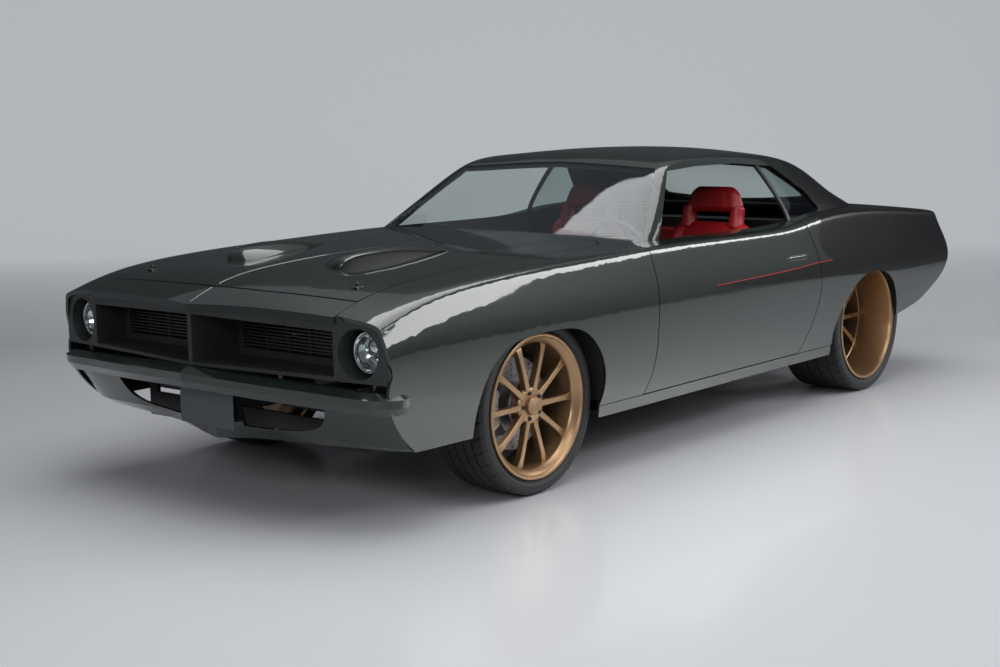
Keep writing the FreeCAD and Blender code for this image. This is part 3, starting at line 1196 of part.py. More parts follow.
def knuckle_left():
    """Upright between the arms, with its ball pins, the wheel spindle and the brake caliper."""
    y, z = FRONT_AXLE_Y, FRONT_TYRE_RADIUS
    kingpin = FRONT_TRACK_HALF - KINGPIN_OFFSET
    low = LOWER_ARM_Z + ARM_THICKNESS + SEAT_GAP
    high = UPPER_ARM_Z - SEAT_GAP
    upright = block(kingpin - KNUCKLE_HALF, kingpin + KNUCKLE_HALF, y - KNUCKLE_HALF, y + KNUCKLE_HALF, low, high)
    pin = Part.makeCylinder(KINGPIN_RADIUS, high - low + 2 * ARM_THICKNESS, Vector(kingpin, y, low - ARM_THICKNESS),
                            Vector(0, 0, 1))
    spindle = rod_x(kingpin, FRONT_TRACK_HALF + SPINDLE_REACH, y, z, SPINDLE_RADIUS)
    return fused([upright, pin, spindle, caliper(y, z, FRONT_DISC_X, kingpin)])


def caliper(y, z, disc_x, bracket_x):
    """Brake caliper ahead of the axle that straddles the disc."""
    reach = DISC_RADIUS + CALIPER_RISE
    inner = DISC_RADIUS - CALIPER_BITE
    body = tube_x(disc_x - CALIPER_WIDTH / 2, disc_x + CALIPER_WIDTH / 2, y, z, inner, reach)
    body = body.common(block(0, BODY_WIDTH, y - reach, y - inner * 0.6, z - reach / 2, z + reach / 2))
    slot = rod_x(disc_x - DISC_THICKNESS / 2 - PANEL_GAP, disc_x + DISC_THICKNESS / 2 + PANEL_GAP, y, z,
                 DISC_RADIUS + PANEL_GAP)
    arm = block(bracket_x, disc_x - CALIPER_WIDTH / 2 + SHEET, y - reach + CALIPER_RISE, y, z - SHEET, z + SHEET)
    return fused([body.cut(slot), arm.cut(slot)])


def brake_disc(axle_y, axle_z, disc_x, face_x):
    """Vented disc with its hat, which reaches to the wheel's mounting face."""
    ring = tube_x(disc_x - DISC_THICKNESS / 2, disc_x + DISC_THICKNESS / 2, axle_y, axle_z, DISC_HAT_RADIUS - SHEET,
                  DISC_RADIUS)
    hat = tube_x(disc_x - DISC_THICKNESS / 2, face_x - SEAT_GAP, axle_y, axle_z, SPINDLE_RADIUS + SPINDLE_CLEARANCE,
                 DISC_HAT_RADIUS)
    return fused([ring, hat])


def rim(axle_y, axle_z, track, radius, width, dish):
    """Wheel: a barrel with its lips, ten spokes and a hub, bored for the spindle."""
    half = width / 2 - RIM_INSET
    lip_x = track + half
    back_x = track - half
    bead = radius - BEAD_DROP
    well = bead - WELL_DROP
    face = lip_x - dish
    profile = [(lip_x, radius), (lip_x - RIM_WALL, radius), (lip_x - RIM_WALL, bead), (lip_x - 4 * RIM_WALL, bead),
               (track, well), (back_x + 4 * RIM_WALL, bead), (back_x + RIM_WALL, bead), (back_x + RIM_WALL, radius),
               (back_x, radius), (back_x, radius - RIM_WALL), (back_x + 3 * RIM_WALL, bead - RIM_WALL),
               (track, well - RIM_WALL), (lip_x - 4 * RIM_WALL, well - RIM_WALL), (lip_x, bead - RIM_WALL)]
    place = Vector(0, axle_y, axle_z)
    barrel = revolved(profile, place, Vector(0, 0, 1), Vector(1, 0, 0))
    hub = rod_x(face - SPOKE_DEPTH, face, axle_y, axle_z, HUB_RADIUS)
    spokes = []
    reach = well + RIM_WALL
    for index in range(SPOKE_COUNT):
        turn = 360.0 * index / SPOKE_COUNT
        spoke = side_prism([(axle_y - SPOKE_WIDTH / 2, axle_z), (axle_y + SPOKE_WIDTH / 2, axle_z),
                            (axle_y + SPOKE_WIDTH / 2 * SPOKE_FLARE_share, axle_z + reach),
                            (axle_y - SPOKE_WIDTH / 2 * SPOKE_FLARE_share, axle_z + reach)], face - SPOKE_DEPTH, face)
        spoke.rotate(place, Vector(1, 0, 0), turn)
        spokes.append(spoke)
    wheel = fused([barrel, hub] + spokes)
    cap = rod_x(face - RIM_WALL, face + RIM_WALL, axle_y, axle_z, HUB_CAP_RADIUS)
    bore = rod_x(face - SPOKE_DEPTH - OVERRUN, face - RIM_WALL - SEAT_GAP, axle_y, axle_z,
                 SPINDLE_RADIUS + SPINDLE_CLEARANCE)
    return fused([wheel, cap]).cut(bore)


def tyre(axle_y, axle_z, track, rim_radius, radius, width):
    """Low tyre with a flat tread and rounded shoulders, bored to its wheel."""
    half = width / 2
    bead = half - RIM_INSET - RIM_WALL - SEAT_GAP
    bore = rim_radius - BEAD_DROP + SEAT_GAP
    flange = rim_radius + TYRE_FLANGE_RISE
    bulge = (rim_radius + radius) / 2
    side = [(bead, bore), (bead, flange), (half, bulge), (half - TYRE_SHOULDER_WIDTH, radius)]
    profile = [(track + x, out) for x, out in side] + [(track - x, out) for x, out in reversed(side)]
    return revolved(profile, Vector(0, axle_y, axle_z), Vector(0, 0, 1), Vector(1, 0, 0))


def rear_axle():
    """Axle tube with its differential and spindles, the leaf springs and the rear calipers."""
    y, z = REAR_AXLE_Y, REAR_TYRE_RADIUS
    tube = rod_x(-AXLE_HALF, AXLE_HALF, y, z, AXLE_RADIUS)
    reach = REAR_TRACK_HALF + REAR_TYRE_WIDTH / 2 - RIM_INSET - REAR_DISH - RIM_WALL - PANEL_GAP
    spindle = rod_x(-reach, reach, y, z, SPINDLE_RADIUS)
    diff = rod_x(-DIFF_HALF, DIFF_HALF, y, z, DIFF_RADIUS)
    pieces = [tube, spindle, diff]
    line = [(REAR_AXLE_Y + dy, height) for dy, height in LEAF_LINE]
    top = [Vector(SPRING_INNER, py, pz) for py, pz in line]
    under = [Vector(SPRING_INNER, py, pz - LEAF_THICKNESS) for py, pz in reversed(line)]
    leaf = joined_face([top, under]).extrude(Vector(SPRING_OUTER - SPRING_INNER, 0, 0))
    ends = [block(SPRING_INNER, SPRING_OUTER, line[0][0], line[0][0] + 2 * SHEET, line[0][1] - LEAF_THICKNESS,
                  line[0][1] + SPRING_EYE - SEAT_GAP),
            block(SPRING_INNER, SPRING_OUTER, line[-1][0] - 2 * SHEET, line[-1][0], line[-1][1] - LEAF_THICKNESS,
                  line[-1][1] + SPRING_EYE - SEAT_GAP)]
    leaf = fused([leaf] + ends)
    pad = block(SPRING_INNER, SPRING_OUTER, y - AXLE_RADIUS, y + AXLE_RADIUS, line[2][1] - LEAF_THICKNESS / 2, z)
    for piece in (leaf, pad, caliper(y, z, REAR_DISC_X, REAR_RAIL_OUTER)):
        pieces += [piece, mirrored(piece)]
    return fused(pieces)


FRONT_WHEEL = (FRONT_AXLE_Y, FRONT_TYRE_RADIUS, FRONT_TRACK_HALF)
REAR_WHEEL = (REAR_AXLE_Y, REAR_TYRE_RADIUS, REAR_TRACK_HALF)


def hub_back(track, width, dish):
    return track + width / 2 - RIM_INSET - dish - SPOKE_DEPTH


def wheel_pieces():
    """Tyre, rim and brake disc of each wheel, named by axle and side."""
    axles = {
        "front": (FRONT_WHEEL, FRONT_RIM_RADIUS, FRONT_TYRE_WIDTH, FRONT_DISH, FRONT_DISC_X),
        "rear": (REAR_WHEEL, REAR_RIM_RADIUS, REAR_TYRE_WIDTH, REAR_DISH, REAR_DISC_X),
    }
    pieces = {}
    for end, (place, rim_radius, width, dish, disc_x) in axles.items():
        y, z, track = place
        shapes = {
            "tyre": tyre(y, z, track, rim_radius, z, width),
            "rim": rim(y, z, track, rim_radius, width, dish),
            "brake_disc": brake_disc(y, z, disc_x, hub_back(track, width, dish)),
        }
        for name, shape in shapes.items():
            pieces[f"{name}_{end}_left"] = shape
            pieces[f"{name}_{end}_right"] = mirrored(shape)
    return pieces


def all_pieces():
    door = door_left()
    knuckle = knuckle_left()
    pieces = {
        "front_fenders": front_fenders(),
        "quarter_panels": quarter_panels(),
        "rocker_panels": rocker_panels(),
        "roof_panel": roof_panel(),
        "cowl_panel": cowl_panel(),
        "rear_deck_panel": rear_deck_panel(),
        "nose_panel": nose_panel(),
        "grille_surround": grille_surround(),
        "grille_bars": grille_bars(),
        "headlamps": headlamps(),
        "front_bumper": front_bumper(),
        "front_valance": front_valance(),
        "front_plate": front_plate(),
        "tail_panel": tail_panel(),
        "tail_lamps": tail_lamps(),
        "rear_bumper": rear_bumper(),
        "rear_valance": rear_valance(),
        "window_glass": window_glass(),
        "window_trim": window_trim(),
        "floor_pan": floor_pan(),
        "firewall": firewall(),
        "wheelhouses": wheelhouses(),
        "dashboard": dashboard(),
        "front_seats": front_seats(),
        "rear_seat": rear_seat(),
        "engine_block": engine_block(),
        "driveline": driveline(),
        "exhaust": exhaust(),
        "fuel_tank": fuel_tank(),
        "front_suspension": front_suspension(),
        "rear_axle": rear_axle(),
        "hood": hood(),
        "deck_lid": deck_lid(),
        "door_left": door,
        "door_right": mirrored(door),
        "steering_wheel": steering_wheel(),
        "knuckle_left": knuckle,
        "knuckle_right": mirrored(knuckle),
    }
    pieces.update(wheel_pieces())
    return pieces


def main():
    os.makedirs("parts", exist_ok=True)
    for name, shape in all_pieces().items():
        shape.exportStep(f"parts/{name}.step")
        print(f"{name:24s} valid {shape.isValid()} solids {len(shape.Solids)} litres {shape.Volume / 1e6:8.2f}")


main()
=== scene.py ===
# %% [markdown]
# # A two-door muscle car in a pale studio
# The real car is a low hardtop of about 1970 in a green so dark that it reads as black, on bronze wheels.
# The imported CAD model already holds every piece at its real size. This lesson dresses it: smooth mirror-like
# panels, treaded tyres, quilted seats, lamps and glass.

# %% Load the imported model
import json
import math
from collections import namedtuple

import bmesh
import bpy
import numpy as np
from mathutils import Matrix, Vector
from mathutils.bvhtree import BVHTree
from mathutils.kdtree import KDTree


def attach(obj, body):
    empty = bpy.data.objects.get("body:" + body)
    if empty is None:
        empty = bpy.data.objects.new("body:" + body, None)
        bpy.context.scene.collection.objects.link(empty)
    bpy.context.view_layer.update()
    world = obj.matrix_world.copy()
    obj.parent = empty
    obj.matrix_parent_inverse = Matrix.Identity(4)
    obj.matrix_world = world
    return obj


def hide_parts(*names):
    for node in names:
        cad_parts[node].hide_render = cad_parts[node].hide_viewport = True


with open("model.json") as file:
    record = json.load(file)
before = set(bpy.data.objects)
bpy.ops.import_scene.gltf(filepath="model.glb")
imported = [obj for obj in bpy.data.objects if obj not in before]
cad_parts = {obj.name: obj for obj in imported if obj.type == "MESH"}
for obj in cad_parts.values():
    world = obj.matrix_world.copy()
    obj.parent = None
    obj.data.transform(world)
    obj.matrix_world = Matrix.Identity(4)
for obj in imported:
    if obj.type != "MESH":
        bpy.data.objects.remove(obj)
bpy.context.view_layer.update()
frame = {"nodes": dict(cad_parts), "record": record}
nodes = frame["nodes"]

# %% [markdown]
# ## The camera
# The picture was taken from the car's left front corner, at about eye height, with a short telephoto lens.
# Place, turn and lens were worked out from points of known size on the wheels, lamps and roof.

# %% Camera
EYE = Vector((4.34546, -5.72457, 1.43768))
YAW, PITCH, ROLL = (math.radians(turn) for turn in (39.99, 8.25, -0.81))
FOCAL_PIXELS, PICTURE_WIDTH, SENSOR = 1486.49, 1000, 36.0
forward = Vector((-math.sin(YAW) * math.cos(PITCH), math.cos(YAW) * math.cos(PITCH), -math.sin(PITCH)))
level = Vector((math.cos(YAW), math.sin(YAW), 0))
upright = level.cross(forward)
across = math.cos(ROLL) * level + math.sin(ROLL) * upright
above = -math.sin(ROLL) * level + math.cos(ROLL) * upright
turned = Matrix((across, above, -forward)).transposed().to_4x4()
camera = bpy.data.objects.new("camera", bpy.data.cameras.new("camera"))
camera.matrix_world = Matrix.Translation(EYE) @ turned
camera.data.sensor_width = SENSOR
camera.data.lens = SENSOR * FOCAL_PIXELS / PICTURE_WIDTH
camera.data.clip_end = 200
bpy.context.scene.collection.objects.link(camera)
bpy.context.scene.camera = camera
print("lens", round(camera.data.lens, 2), "mm")

# %% [markdown]
# ## Shader maths as plain expressions
# A procedural finish is a small sum of noises, masks and colours. Wiring it node by node hides the sum, so a
# small class wraps a node's output: adding or multiplying two of them adds the Math node that does it.

# %% A wrapped socket, and a finish that makes nodes
class Wire:
    """A node's output that can be added, multiplied or compared as a number can."""

    def __init__(self, finish, socket):
        self.finish = finish
        self.socket = socket

    def maths(self, operation, first, second):
        return self.finish.node("ShaderNodeMath", {"operation": operation}, {0: first, 1: second})

    def __add__(self, other):
        return self.maths("ADD", self, other)

    def __sub__(self, other):
        return self.maths("SUBTRACT", self, other)

    def __rsub__(self, other):
        return self.maths("SUBTRACT", other, self)

    def __mul__(self, other):
        return self.maths("MULTIPLY", self, other)

    def __truediv__(self, other):
        return self.maths("DIVIDE", self, other)

    def __pow__(self, other):
        return self.maths("POWER", self, other)

    def __gt__(self, other):
        return self.maths("GREATER_THAN", self, other)

    def __lt__(self, other):
        return self.maths("LESS_THAN", self, other)

    __radd__ = __add__
    __rmul__ = __mul__


class Finish:
    """One material with its main shader, to which values and links are given by socket name."""

    def __init__(self, name, **values):
        self.material = bpy.data.materials.new(name)
        self.material.use_nodes = True
        self.tree = self.material.node_tree
        self.tree.nodes.clear()
        self.output = self.tree.nodes.new("ShaderNodeOutputMaterial")
        self.shader = self.tree.nodes.new("ShaderNodeBsdfPrincipled")
        self.tree.links.new(self.shader.outputs[0], self.output.inputs[0])
        self.set(**values)

    def set(self, **values):
        for key, value in values.items():
            self.give(self.shader.inputs[key.replace("_", " ")], value)

    def give(self, socket, value):
        if isinstance(value, Wire):
            self.tree.links.new(value.socket, socket)
        elif hasattr(socket.default_value, "__len__") and len(value) < len(socket.default_value):
            socket.default_value = tuple(value) + (1.0,)
        else:
            socket.default_value = value

    def node(self, kind, settings=None, inputs=None, output=0):
        made = self.tree.nodes.new(kind)
        for key, value in (settings or {}).items():
            if key == "stops":
                ramp = made.color_ramp.elements
                while len(ramp) < len(value):
                    ramp.new(0.5)
                for stop, (place, colour) in zip(ramp, value):
                    stop.position = place
                    stop.color = tuple(colour) + (1.0,)
            else:
                setattr(made, key, value)
        for key, value in (inputs or {}).items():
            self.give(made.inputs[key], value)
        return Wire(self, made.outputs[output])

    def place(self):
        return self.node("ShaderNodeTexCoord", output=3)

    def noise(self, scale, detail):
        inputs = {"Vector": self.place(), "Scale": scale, "Detail": detail, "Roughness": 0.5}
        return self.node("ShaderNodeTexNoise", {}, inputs)

    def ramp(self, factor, stops):
        return self.node("ShaderNodeValToRGB", {"stops": stops}, {0: factor})

    def mix(self, factor, first, second):
        return self.node("ShaderNodeMix", {"data_type": "RGBA"}, {0: factor, 6: first, 7: second}, output=2)

    def split(self, place, axis):
        return self.node("ShaderNodeSeparateXYZ", {}, {0: place}, output=axis)

    def bump(self, height, strength, distance):
        inputs = {"Height": height, "Strength": strength, "Distance": distance}
        return self.node("ShaderNodeBump", {}, inputs)


# %% [markdown]
# ## Finishes
# Each finish is named for what it covers. The paint is a metal-flake green under a thick clear coat. Its
# colour is so dark that most of what shows is the coat's reflection of the studio.

# %% Car paint
# Top and low edges of a painted dark reflection along each side, as (place along, height) points; the red line
# lies on its top edge.
DARK_REFLECTION_TOP = [(-0.34, 0.698), (-0.18, 0.701), (0.17, 0.706), (0.35, 0.709), (0.54, 0.715), (0.69, 0.723),
              (0.92, 0.729)]
DARK_REFLECTION_LOW = [(-0.34, 0.703), (-0.18, 0.694), (0.16, 0.674), (0.54, 0.658), (0.94, 0.643), (1.38, 0.624),
              (1.66, 0.611), (2.37, 0.606)]
HIP_START, HIP_HEIGHT, HIP_LONG, HIP_HIGH = 0.94, 0.845, 0.175, 0.125
DARK_REFLECTION_TIP, RED_TIP, RED_END, RED_WIDTH = -0.26, -0.19, 0.93, 0.0045


def height_along(paint, run, points):
    """A height that follows (place, height) points along the car, straight from point to point."""
    total = points[0][1]
    for (y0, z0), (y1, z1) in zip(points, points[1:]):
        part = paint.node("ShaderNodeMapRange", {}, {0: run, 1: y0, 2: y1, 3: 0.0, 4: z1 - z0})
        total = part + total
    return total


def car_paint():
    """Metal-flake green under a clear coat, with a fine red line along each side; below it lies a painted dark
    reflection in black.
    """
    paint = Finish("dark_green_paint", Specular_IOR_Level=0.2, Coat_Weight=1.0, Coat_Roughness=0.03,
                   Coat_IOR=1.58)
    place = paint.place()
    flake = paint.node("ShaderNodeTexVoronoi", {}, {"Vector": place, "Scale": 1400.0}, output=1)
    sparkle = paint.split(flake, 0)
    run, up = paint.split(place, 1), paint.split(place, 2)
    top = height_along(paint, run, DARK_REFLECTION_TOP)
    low = height_along(paint, run, DARK_REFLECTION_LOW)
    # Painted dark reflection: black between the two edges, and over all the rear hip above the low edge, with
    # coat and metal turned down so that it stays dark.
    round_end = ((run - HIP_START) / HIP_LONG) ** 2.0 + ((up - HIP_HEIGHT) / HIP_HIGH) ** 2.0
    hip = ((1.0 > round_end) + (run > HIP_START)) > 0.5
    dark_reflection = (up > low) * ((((top > up) * (run > DARK_REFLECTION_TIP)) + hip) > 0.5)
    red = (up > top) * ((top + RED_WIDTH) > up) * (run > RED_TIP) * (RED_END > run) * (1.0 - hip)
    green = paint.mix(sparkle * 0.5, (0.0035, 0.0075, 0.0050), (0.011, 0.021, 0.015))
    # Near-black colour of the painted dark reflection.
    with_dark_reflection = paint.mix(dark_reflection, green, (0.004, 0.004, 0.0045))
    paint.set(Base_Color=paint.mix(red, with_dark_reflection, (0.30, 0.012, 0.012)),
              Roughness=0.30 + sparkle * 0.12, Metallic=0.3 - dark_reflection * 0.3, Coat_Weight=1.0 - dark_reflection * 0.93)
    return paint.material


def satin_finish(name, colour, roughness, grain):
    """A soft sheen with a faint grain, as on satin paint, rubber and leather."""
    satin = Finish(name)
    speck = satin.noise(grain, 4.0)
    cloud = satin.noise(9.0, 3.0)
    lighter = [value * 1.6 + 0.003 for value in colour]
    satin.set(Base_Color=satin.mix(cloud * 0.6, colour, lighter), Roughness=roughness + (speck - 0.5) * 0.12,
              Normal=satin.bump(speck, 0.12, 0.0004))
    return satin.material


def metal_finish(name, colour, metallic, roughness, grain=220.0):
    """Metal with a fine grain and slow changes of colour and gloss."""
    metal = Finish(name, Metallic=metallic)
    speck = metal.noise(grain, 5.0)
    cloud = metal.noise(14.0, 4.0)
    dull = [value * 0.72 for value in colour]
    metal.set(Base_Color=metal.mix(cloud, colour, dull), Roughness=roughness + (cloud - 0.5) * 0.15,
              Normal=metal.bump(speck, 0.15, 0.0005))
    return metal.material


def window_pane():
    """Clear glass: what is behind shows through, and more is mirrored at a slant."""
    pane = Finish("window_pane")
    clear = pane.node("ShaderNodeBsdfTransparent", {}, {0: (0.80, 0.85, 0.84)})
    mirror = pane.node("ShaderNodeBsdfGlossy", {}, {"Color": (0.95, 0.97, 1.0), "Roughness": 0.035})
    slant = pane.node("ShaderNodeLayerWeight", {}, {"Blend": 0.5}, output=1)
    both = pane.node("ShaderNodeMixShader", {}, {0: slant ** 5.0 * 0.9 + 0.05, 1: clear, 2: mirror})
    pane.tree.links.new(both.socket, pane.output.inputs[0])
    return pane.material


PAINT = car_paint()
SATIN = satin_finish("satin_nose_black", (0.012, 0.014, 0.013), 0.42, 600.0)
UNDERSIDE = satin_finish("underside_black", (0.02, 0.02, 0.02), 0.7, 90.0)
CABIN = satin_finish("cabin_black", (0.018, 0.018, 0.020), 0.55, 900.0)
SEAL = satin_finish("rubber_seal", (0.008, 0.008, 0.008), 0.5, 400.0)
BRONZE = metal_finish("bronze_wheel", (0.42, 0.265, 0.145), 0.85, 0.34, 500.0)
IRON = metal_finish("disc_iron", (0.30, 0.30, 0.31), 0.9, 0.38)
CHASSIS = metal_finish("chassis_black", (0.035, 0.035, 0.036), 0.4, 0.5)
STEEL = metal_finish("exhaust_steel", (0.45, 0.44, 0.42), 1.0, 0.3)
RUBBER = satin_finish("tyre_rubber", (0.013, 0.013, 0.014), 0.62, 300.0)
LEATHER = satin_finish("red_leather", (0.30, 0.008, 0.012), 0.38, 500.0)
LENS = satin_finish("tail_lens_red", (0.10, 0.002, 0.003), 0.10, 50.0)
PLATE = satin_finish("plate_grey", (0.045, 0.05, 0.055), 0.45, 700.0)
GLASS = window_pane()
print(len(bpy.data.materials), "finishes")

# %% Finishes on the CAD nodes that stay
FINISH_OF_SLOT = {
    "body_paint": PAINT, "satin_dark": SATIN, "lamp_glass": GLASS, "plate_grey": PLATE, "tail_lens": LENS,
    "window_glass": GLASS, "black_trim": SEAL, "underbody": UNDERSIDE, "cabin_black": CABIN,
    "red_leather": LEATHER, "engine_iron": IRON, "driveline_steel": STEEL, "exhaust_steel": STEEL,
    "chassis_black": CHASSIS, "steering_black": CABIN, "tyre_rubber": RUBBER, "bronze_wheel": BRONZE,
    "disc_iron": IRON,
}
slot_of = {piece["node"]: piece["material_slot"] for piece in frame["record"]["subparts"]}
for name, node in nodes.items():
    node.data.materials.clear()
    node.data.materials.append(FINISH_OF_SLOT[slot_of[name]])
print("dressed", len(nodes), "nodes")

# %% [markdown]
# ## The body's skin
# A mirror shows every ripple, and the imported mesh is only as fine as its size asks. The panels were cut from
# two smooth surfaces, so the same surfaces are rebuilt here. Each panel's outer face is then divided more
# finely, laid exactly on its surface, and shaded with the surface's own normals.

# %% The two smooth surfaces
HALF_LENGTH, HALF_WIDTH, ROOF_HEIGHT = 2.371, 0.951, 1.288
SKIRT_HEIGHT, SILL_TUCK, SHOULDER_ROUND, CREASE_ROUND = 0.200, 0.042, 0.030, 0.048
UPPER_FOOT_HEIGHT, EDGE_ROUND, BELT_HEIGHT = 0.460, 0.034, 0.70
LOWER_BODY = [
    (-1.040, 0.966, 0.508, 0.934, 0.552, 0.560, 1.5),
    (-0.975, 0.970, 0.514, 0.936, 0.568, 0.614, 1.5),
    (-0.910, 0.975, 0.521, 0.940, 0.614, 0.668, 1.7),
    (-0.820, 0.982, 0.529, 0.942, 0.655, 0.688, 2.0),
    (-0.700, 0.990, 0.534, 0.946, 0.675, 0.703, 2.2),
    (-0.570, 0.995, 0.536, 0.950, 0.686, 0.711, 2.4),
    (-0.420, 0.997, 0.536, 0.953, 0.693, 0.719, 2.4),
    (-0.270, 0.998, 0.536, 0.955, 0.701, 0.727, 2.4),
    (-0.130, 0.996, 0.536, 0.953, 0.704, 0.728, 2.4),
    (0.010, 0.995, 0.536, 0.951, 0.702, 0.728, 2.4),
    (0.130, 0.995, 0.535, 0.951, 0.702, 0.730, 2.4),
    (0.230, 0.996, 0.534, 0.952, 0.704, 0.732, 2.4),
    (0.310, 0.998, 0.533, 0.955, 0.724, 0.736, 2.4),
    (0.390, 0.999, 0.531, 0.958, 0.740, 0.742, 2.4),
    (0.500, 1.000, 0.529, 0.962, 0.743, 0.746, 2.4),
    (0.620, 0.999, 0.524, 0.961, 0.735, 0.747, 2.4),
    (0.740, 0.990, 0.515, 0.953, 0.719, 0.739, 2.4),
    (0.850, 0.974, 0.505, 0.943, 0.704, 0.729, 2.4),
    (0.930, 0.960, 0.497, 0.933, 0.694, 0.716, 2.4),
    (1.040, 0.932, 0.487, 0.911, 0.680, 0.694, 2.4),
]
UPPER_BODY = [
    (-0.400, 0.900, 0.520, 0.870, 0.590),
    (-0.300, 0.888, 0.610, 0.872, 0.686),
    (-0.215, 0.836, 0.703, 0.879, 0.773),
    (-0.127, 0.732, 0.827, 0.882, 0.861),
    (-0.060, 0.652, 0.922, 0.884, 0.932),
    (-0.025, 0.630, 0.950, 0.885, 0.967),
    (0.020, 0.632, 0.962, 0.885, 0.985),
    (0.090, 0.634, 0.966, 0.885, 0.995),
    (0.190, 0.637, 0.966, 0.885, 1.000),
    (0.290, 0.637, 0.961, 0.882, 0.998),
    (0.380, 0.634, 0.950, 0.872, 0.986),
    (0.460, 0.626, 0.926, 0.862, 0.960),
    (0.530, 0.612, 0.888, 0.850, 0.912),
    (0.590, 0.604, 0.842, 0.845, 0.842),
    (0.650, 0.600, 0.788, 0.842, 0.762),
    (0.715, 0.606, 0.726, 0.842, 0.690),
    (0.790, 0.620, 0.640, 0.842, 0.600),
]


def whole_row(half, y):
    return [(x, y, z) for x, z in half] + [(-x, y, z) for x, z in reversed(half[:-1])]


def lower_row(place, crease_x, crease_z, shoulder_x, shoulder_z, middle_z, power):
    crease_x, shoulder_x = crease_x * HALF_WIDTH, shoulder_x * HALF_WIDTH
    crease_z, shoulder_z, middle_z = (height * ROOF_HEIGHT for height in (crease_z, shoulder_z, middle_z))
    drop = crease_z - SKIRT_HEIGHT
    half = [(crease_x - SILL_TUCK * part ** 1.8, crease_z - drop * part) for part in (1.0, 0.74, 0.48, 0.22)]
    half.append((crease_x, crease_z - CREASE_ROUND / 2))
    lean = (crease_x - shoulder_x) / (shoulder_z - crease_z)
    for part in (0.22, 0.55):
        rise = (shoulder_z - crease_z) * part
        half.append((crease_x - lean * rise, crease_z + rise))
    half.append((shoulder_x + lean * SHOULDER_ROUND, shoulder_z - SHOULDER_ROUND))
    half.append((shoulder_x, shoulder_z))
    crown = middle_z - shoulder_z
    half += [(shoulder_x * part, middle_z - crown * part ** power) for part in (0.90, 0.74, 0.50, 0.25, 0.0)]
    return whole_row(half, place * HALF_LENGTH)


def upper_row(place, edge_x, edge_z, belt_x, middle_z, inset=0.0):
    edge_x, belt_x = edge_x * HALF_WIDTH - inset, belt_x * HALF_WIDTH - inset
    edge_z, middle_z = edge_z * ROOF_HEIGHT - inset, middle_z * ROOF_HEIGHT - inset
    belt_z = min(BELT_HEIGHT * ROOF_HEIGHT, edge_z - 2 * EDGE_ROUND)
    rise = edge_z - belt_z
    half = [(belt_x, UPPER_FOOT_HEIGHT), (belt_x, (UPPER_FOOT_HEIGHT + belt_z) / 2)]
    half += [(belt_x + (edge_x - belt_x) * part ** 1.15, belt_z + rise * part) for part in (0.0, 0.34, 0.68)]
    lean = (belt_x - edge_x) / rise
    half.append((edge_x + lean * EDGE_ROUND * 0.8, edge_z - EDGE_ROUND))
    half.append((edge_x - EDGE_ROUND * 0.2, edge_z + EDGE_ROUND * 0.2))
    crown = middle_z - edge_z
    half += [(edge_x * part, middle_z - crown * part ** 2.2) for part in (0.82, 0.62, 0.40, 0.20, 0.0)]
    return whole_row(half, place * HALF_LENGTH)


# %% A smooth surface that finds the nearest point on itself
class Skin:
    """Cubic surface over rows of poles, with uniform knots clamped at the ends."""

    def __init__(self, rows):
        self.poles = np.array(rows)
        self.knots = []
        for count in self.poles.shape[:2]:
            spans = count - 3
            self.knots.append(np.array([0.0] * 3 + list(range(spans + 1)) + [float(spans)] * 3))
        self.grid = [np.linspace(0, knots[-1], 170) for knots in self.knots]
        u, v = (a.ravel() for a in np.meshgrid(*self.grid, indexing="ij"))
        self.seed = np.column_stack((u, v))
        self.tree = KDTree(len(u))
        for index, point in enumerate(self.at(u, v)[0]):
            self.tree.insert(point, index)
        self.tree.balance()

    @staticmethod
    def weights(knots, t):
        """Weight of every pole at each t, and how fast it changes."""
        column = np.clip(t, 0, knots[-1] - 1e-9)[:, None]
        held = ((knots[:-1] <= column) & (column < knots[1:])).astype(float)
        slope = None
        for degree in (1, 2, 3):
            span = knots[degree:] - knots[:-degree]
            share = held / np.where(span > 0, span, 1.0)[None, :]
            slope = degree * (share[:, :-1] - share[:, 1:])
            held = (column - knots[None, :-degree - 1]) * share[:, :-1]
            held = held + (knots[None, degree + 1:] - column) * share[:, 1:]
        return held, slope

    def at(self, u, v):
        """Points at (u, v) and the two directions in which the surface runs there."""
        wu, du = self.weights(self.knots[0], u)
        wv, dv = self.weights(self.knots[1], v)
        flat = self.poles.reshape(self.poles.shape[0], -1)
        along = (wu @ flat).reshape(len(u), -1, 3)
        run = (du @ flat).reshape(len(u), -1, 3)
        point = np.einsum("ij,ijk->ik", wv, along)
        return point, np.einsum("ij,ijk->ik", wv, run), np.einsum("ij,ijk->ik", dv, along)

    def nearest(self, points):
        """The nearest points on the surface, and the normals there."""
        points = np.asarray(points, float)
        start = np.array([self.seed[self.tree.find(point)[1]] for point in points])
        u, v = start[:, 0].copy(), start[:, 1].copy()
        for _ in range(6):
            place, pu, pv = self.at(u, v)
            off = points - place
            a, b, c = (np.einsum("ij,ij->i", p, q) for p, q in ((pu, pu), (pu, pv), (pv, pv)))
            e, f = np.einsum("ij,ij->i", pu, off), np.einsum("ij,ij->i", pv, off)
            whole = a * c - b * b + 1e-18
            u = np.clip(u + (c * e - b * f) / whole, 0, self.knots[0][-1])
            v = np.clip(v + (a * f - b * e) / whole, 0, self.knots[1][-1])
        place, pu, pv = self.at(u, v)
        normal = np.cross(pu, pv)
        normal /= np.linalg.norm(normal, axis=1)[:, None] + 1e-12
        return place, normal


lower_skin = Skin([lower_row(*row) for row in LOWER_BODY])
upper_skin = Skin([upper_row(*row) for row in UPPER_BODY])
check = np.array([v.co for v in nodes["hood"].data.vertices])
drift = np.linalg.norm(lower_skin.nearest(check)[0] - check, axis=1)
print("hood vertices on the skin:", int((drift < 0.0002).sum()), "of", len(check))

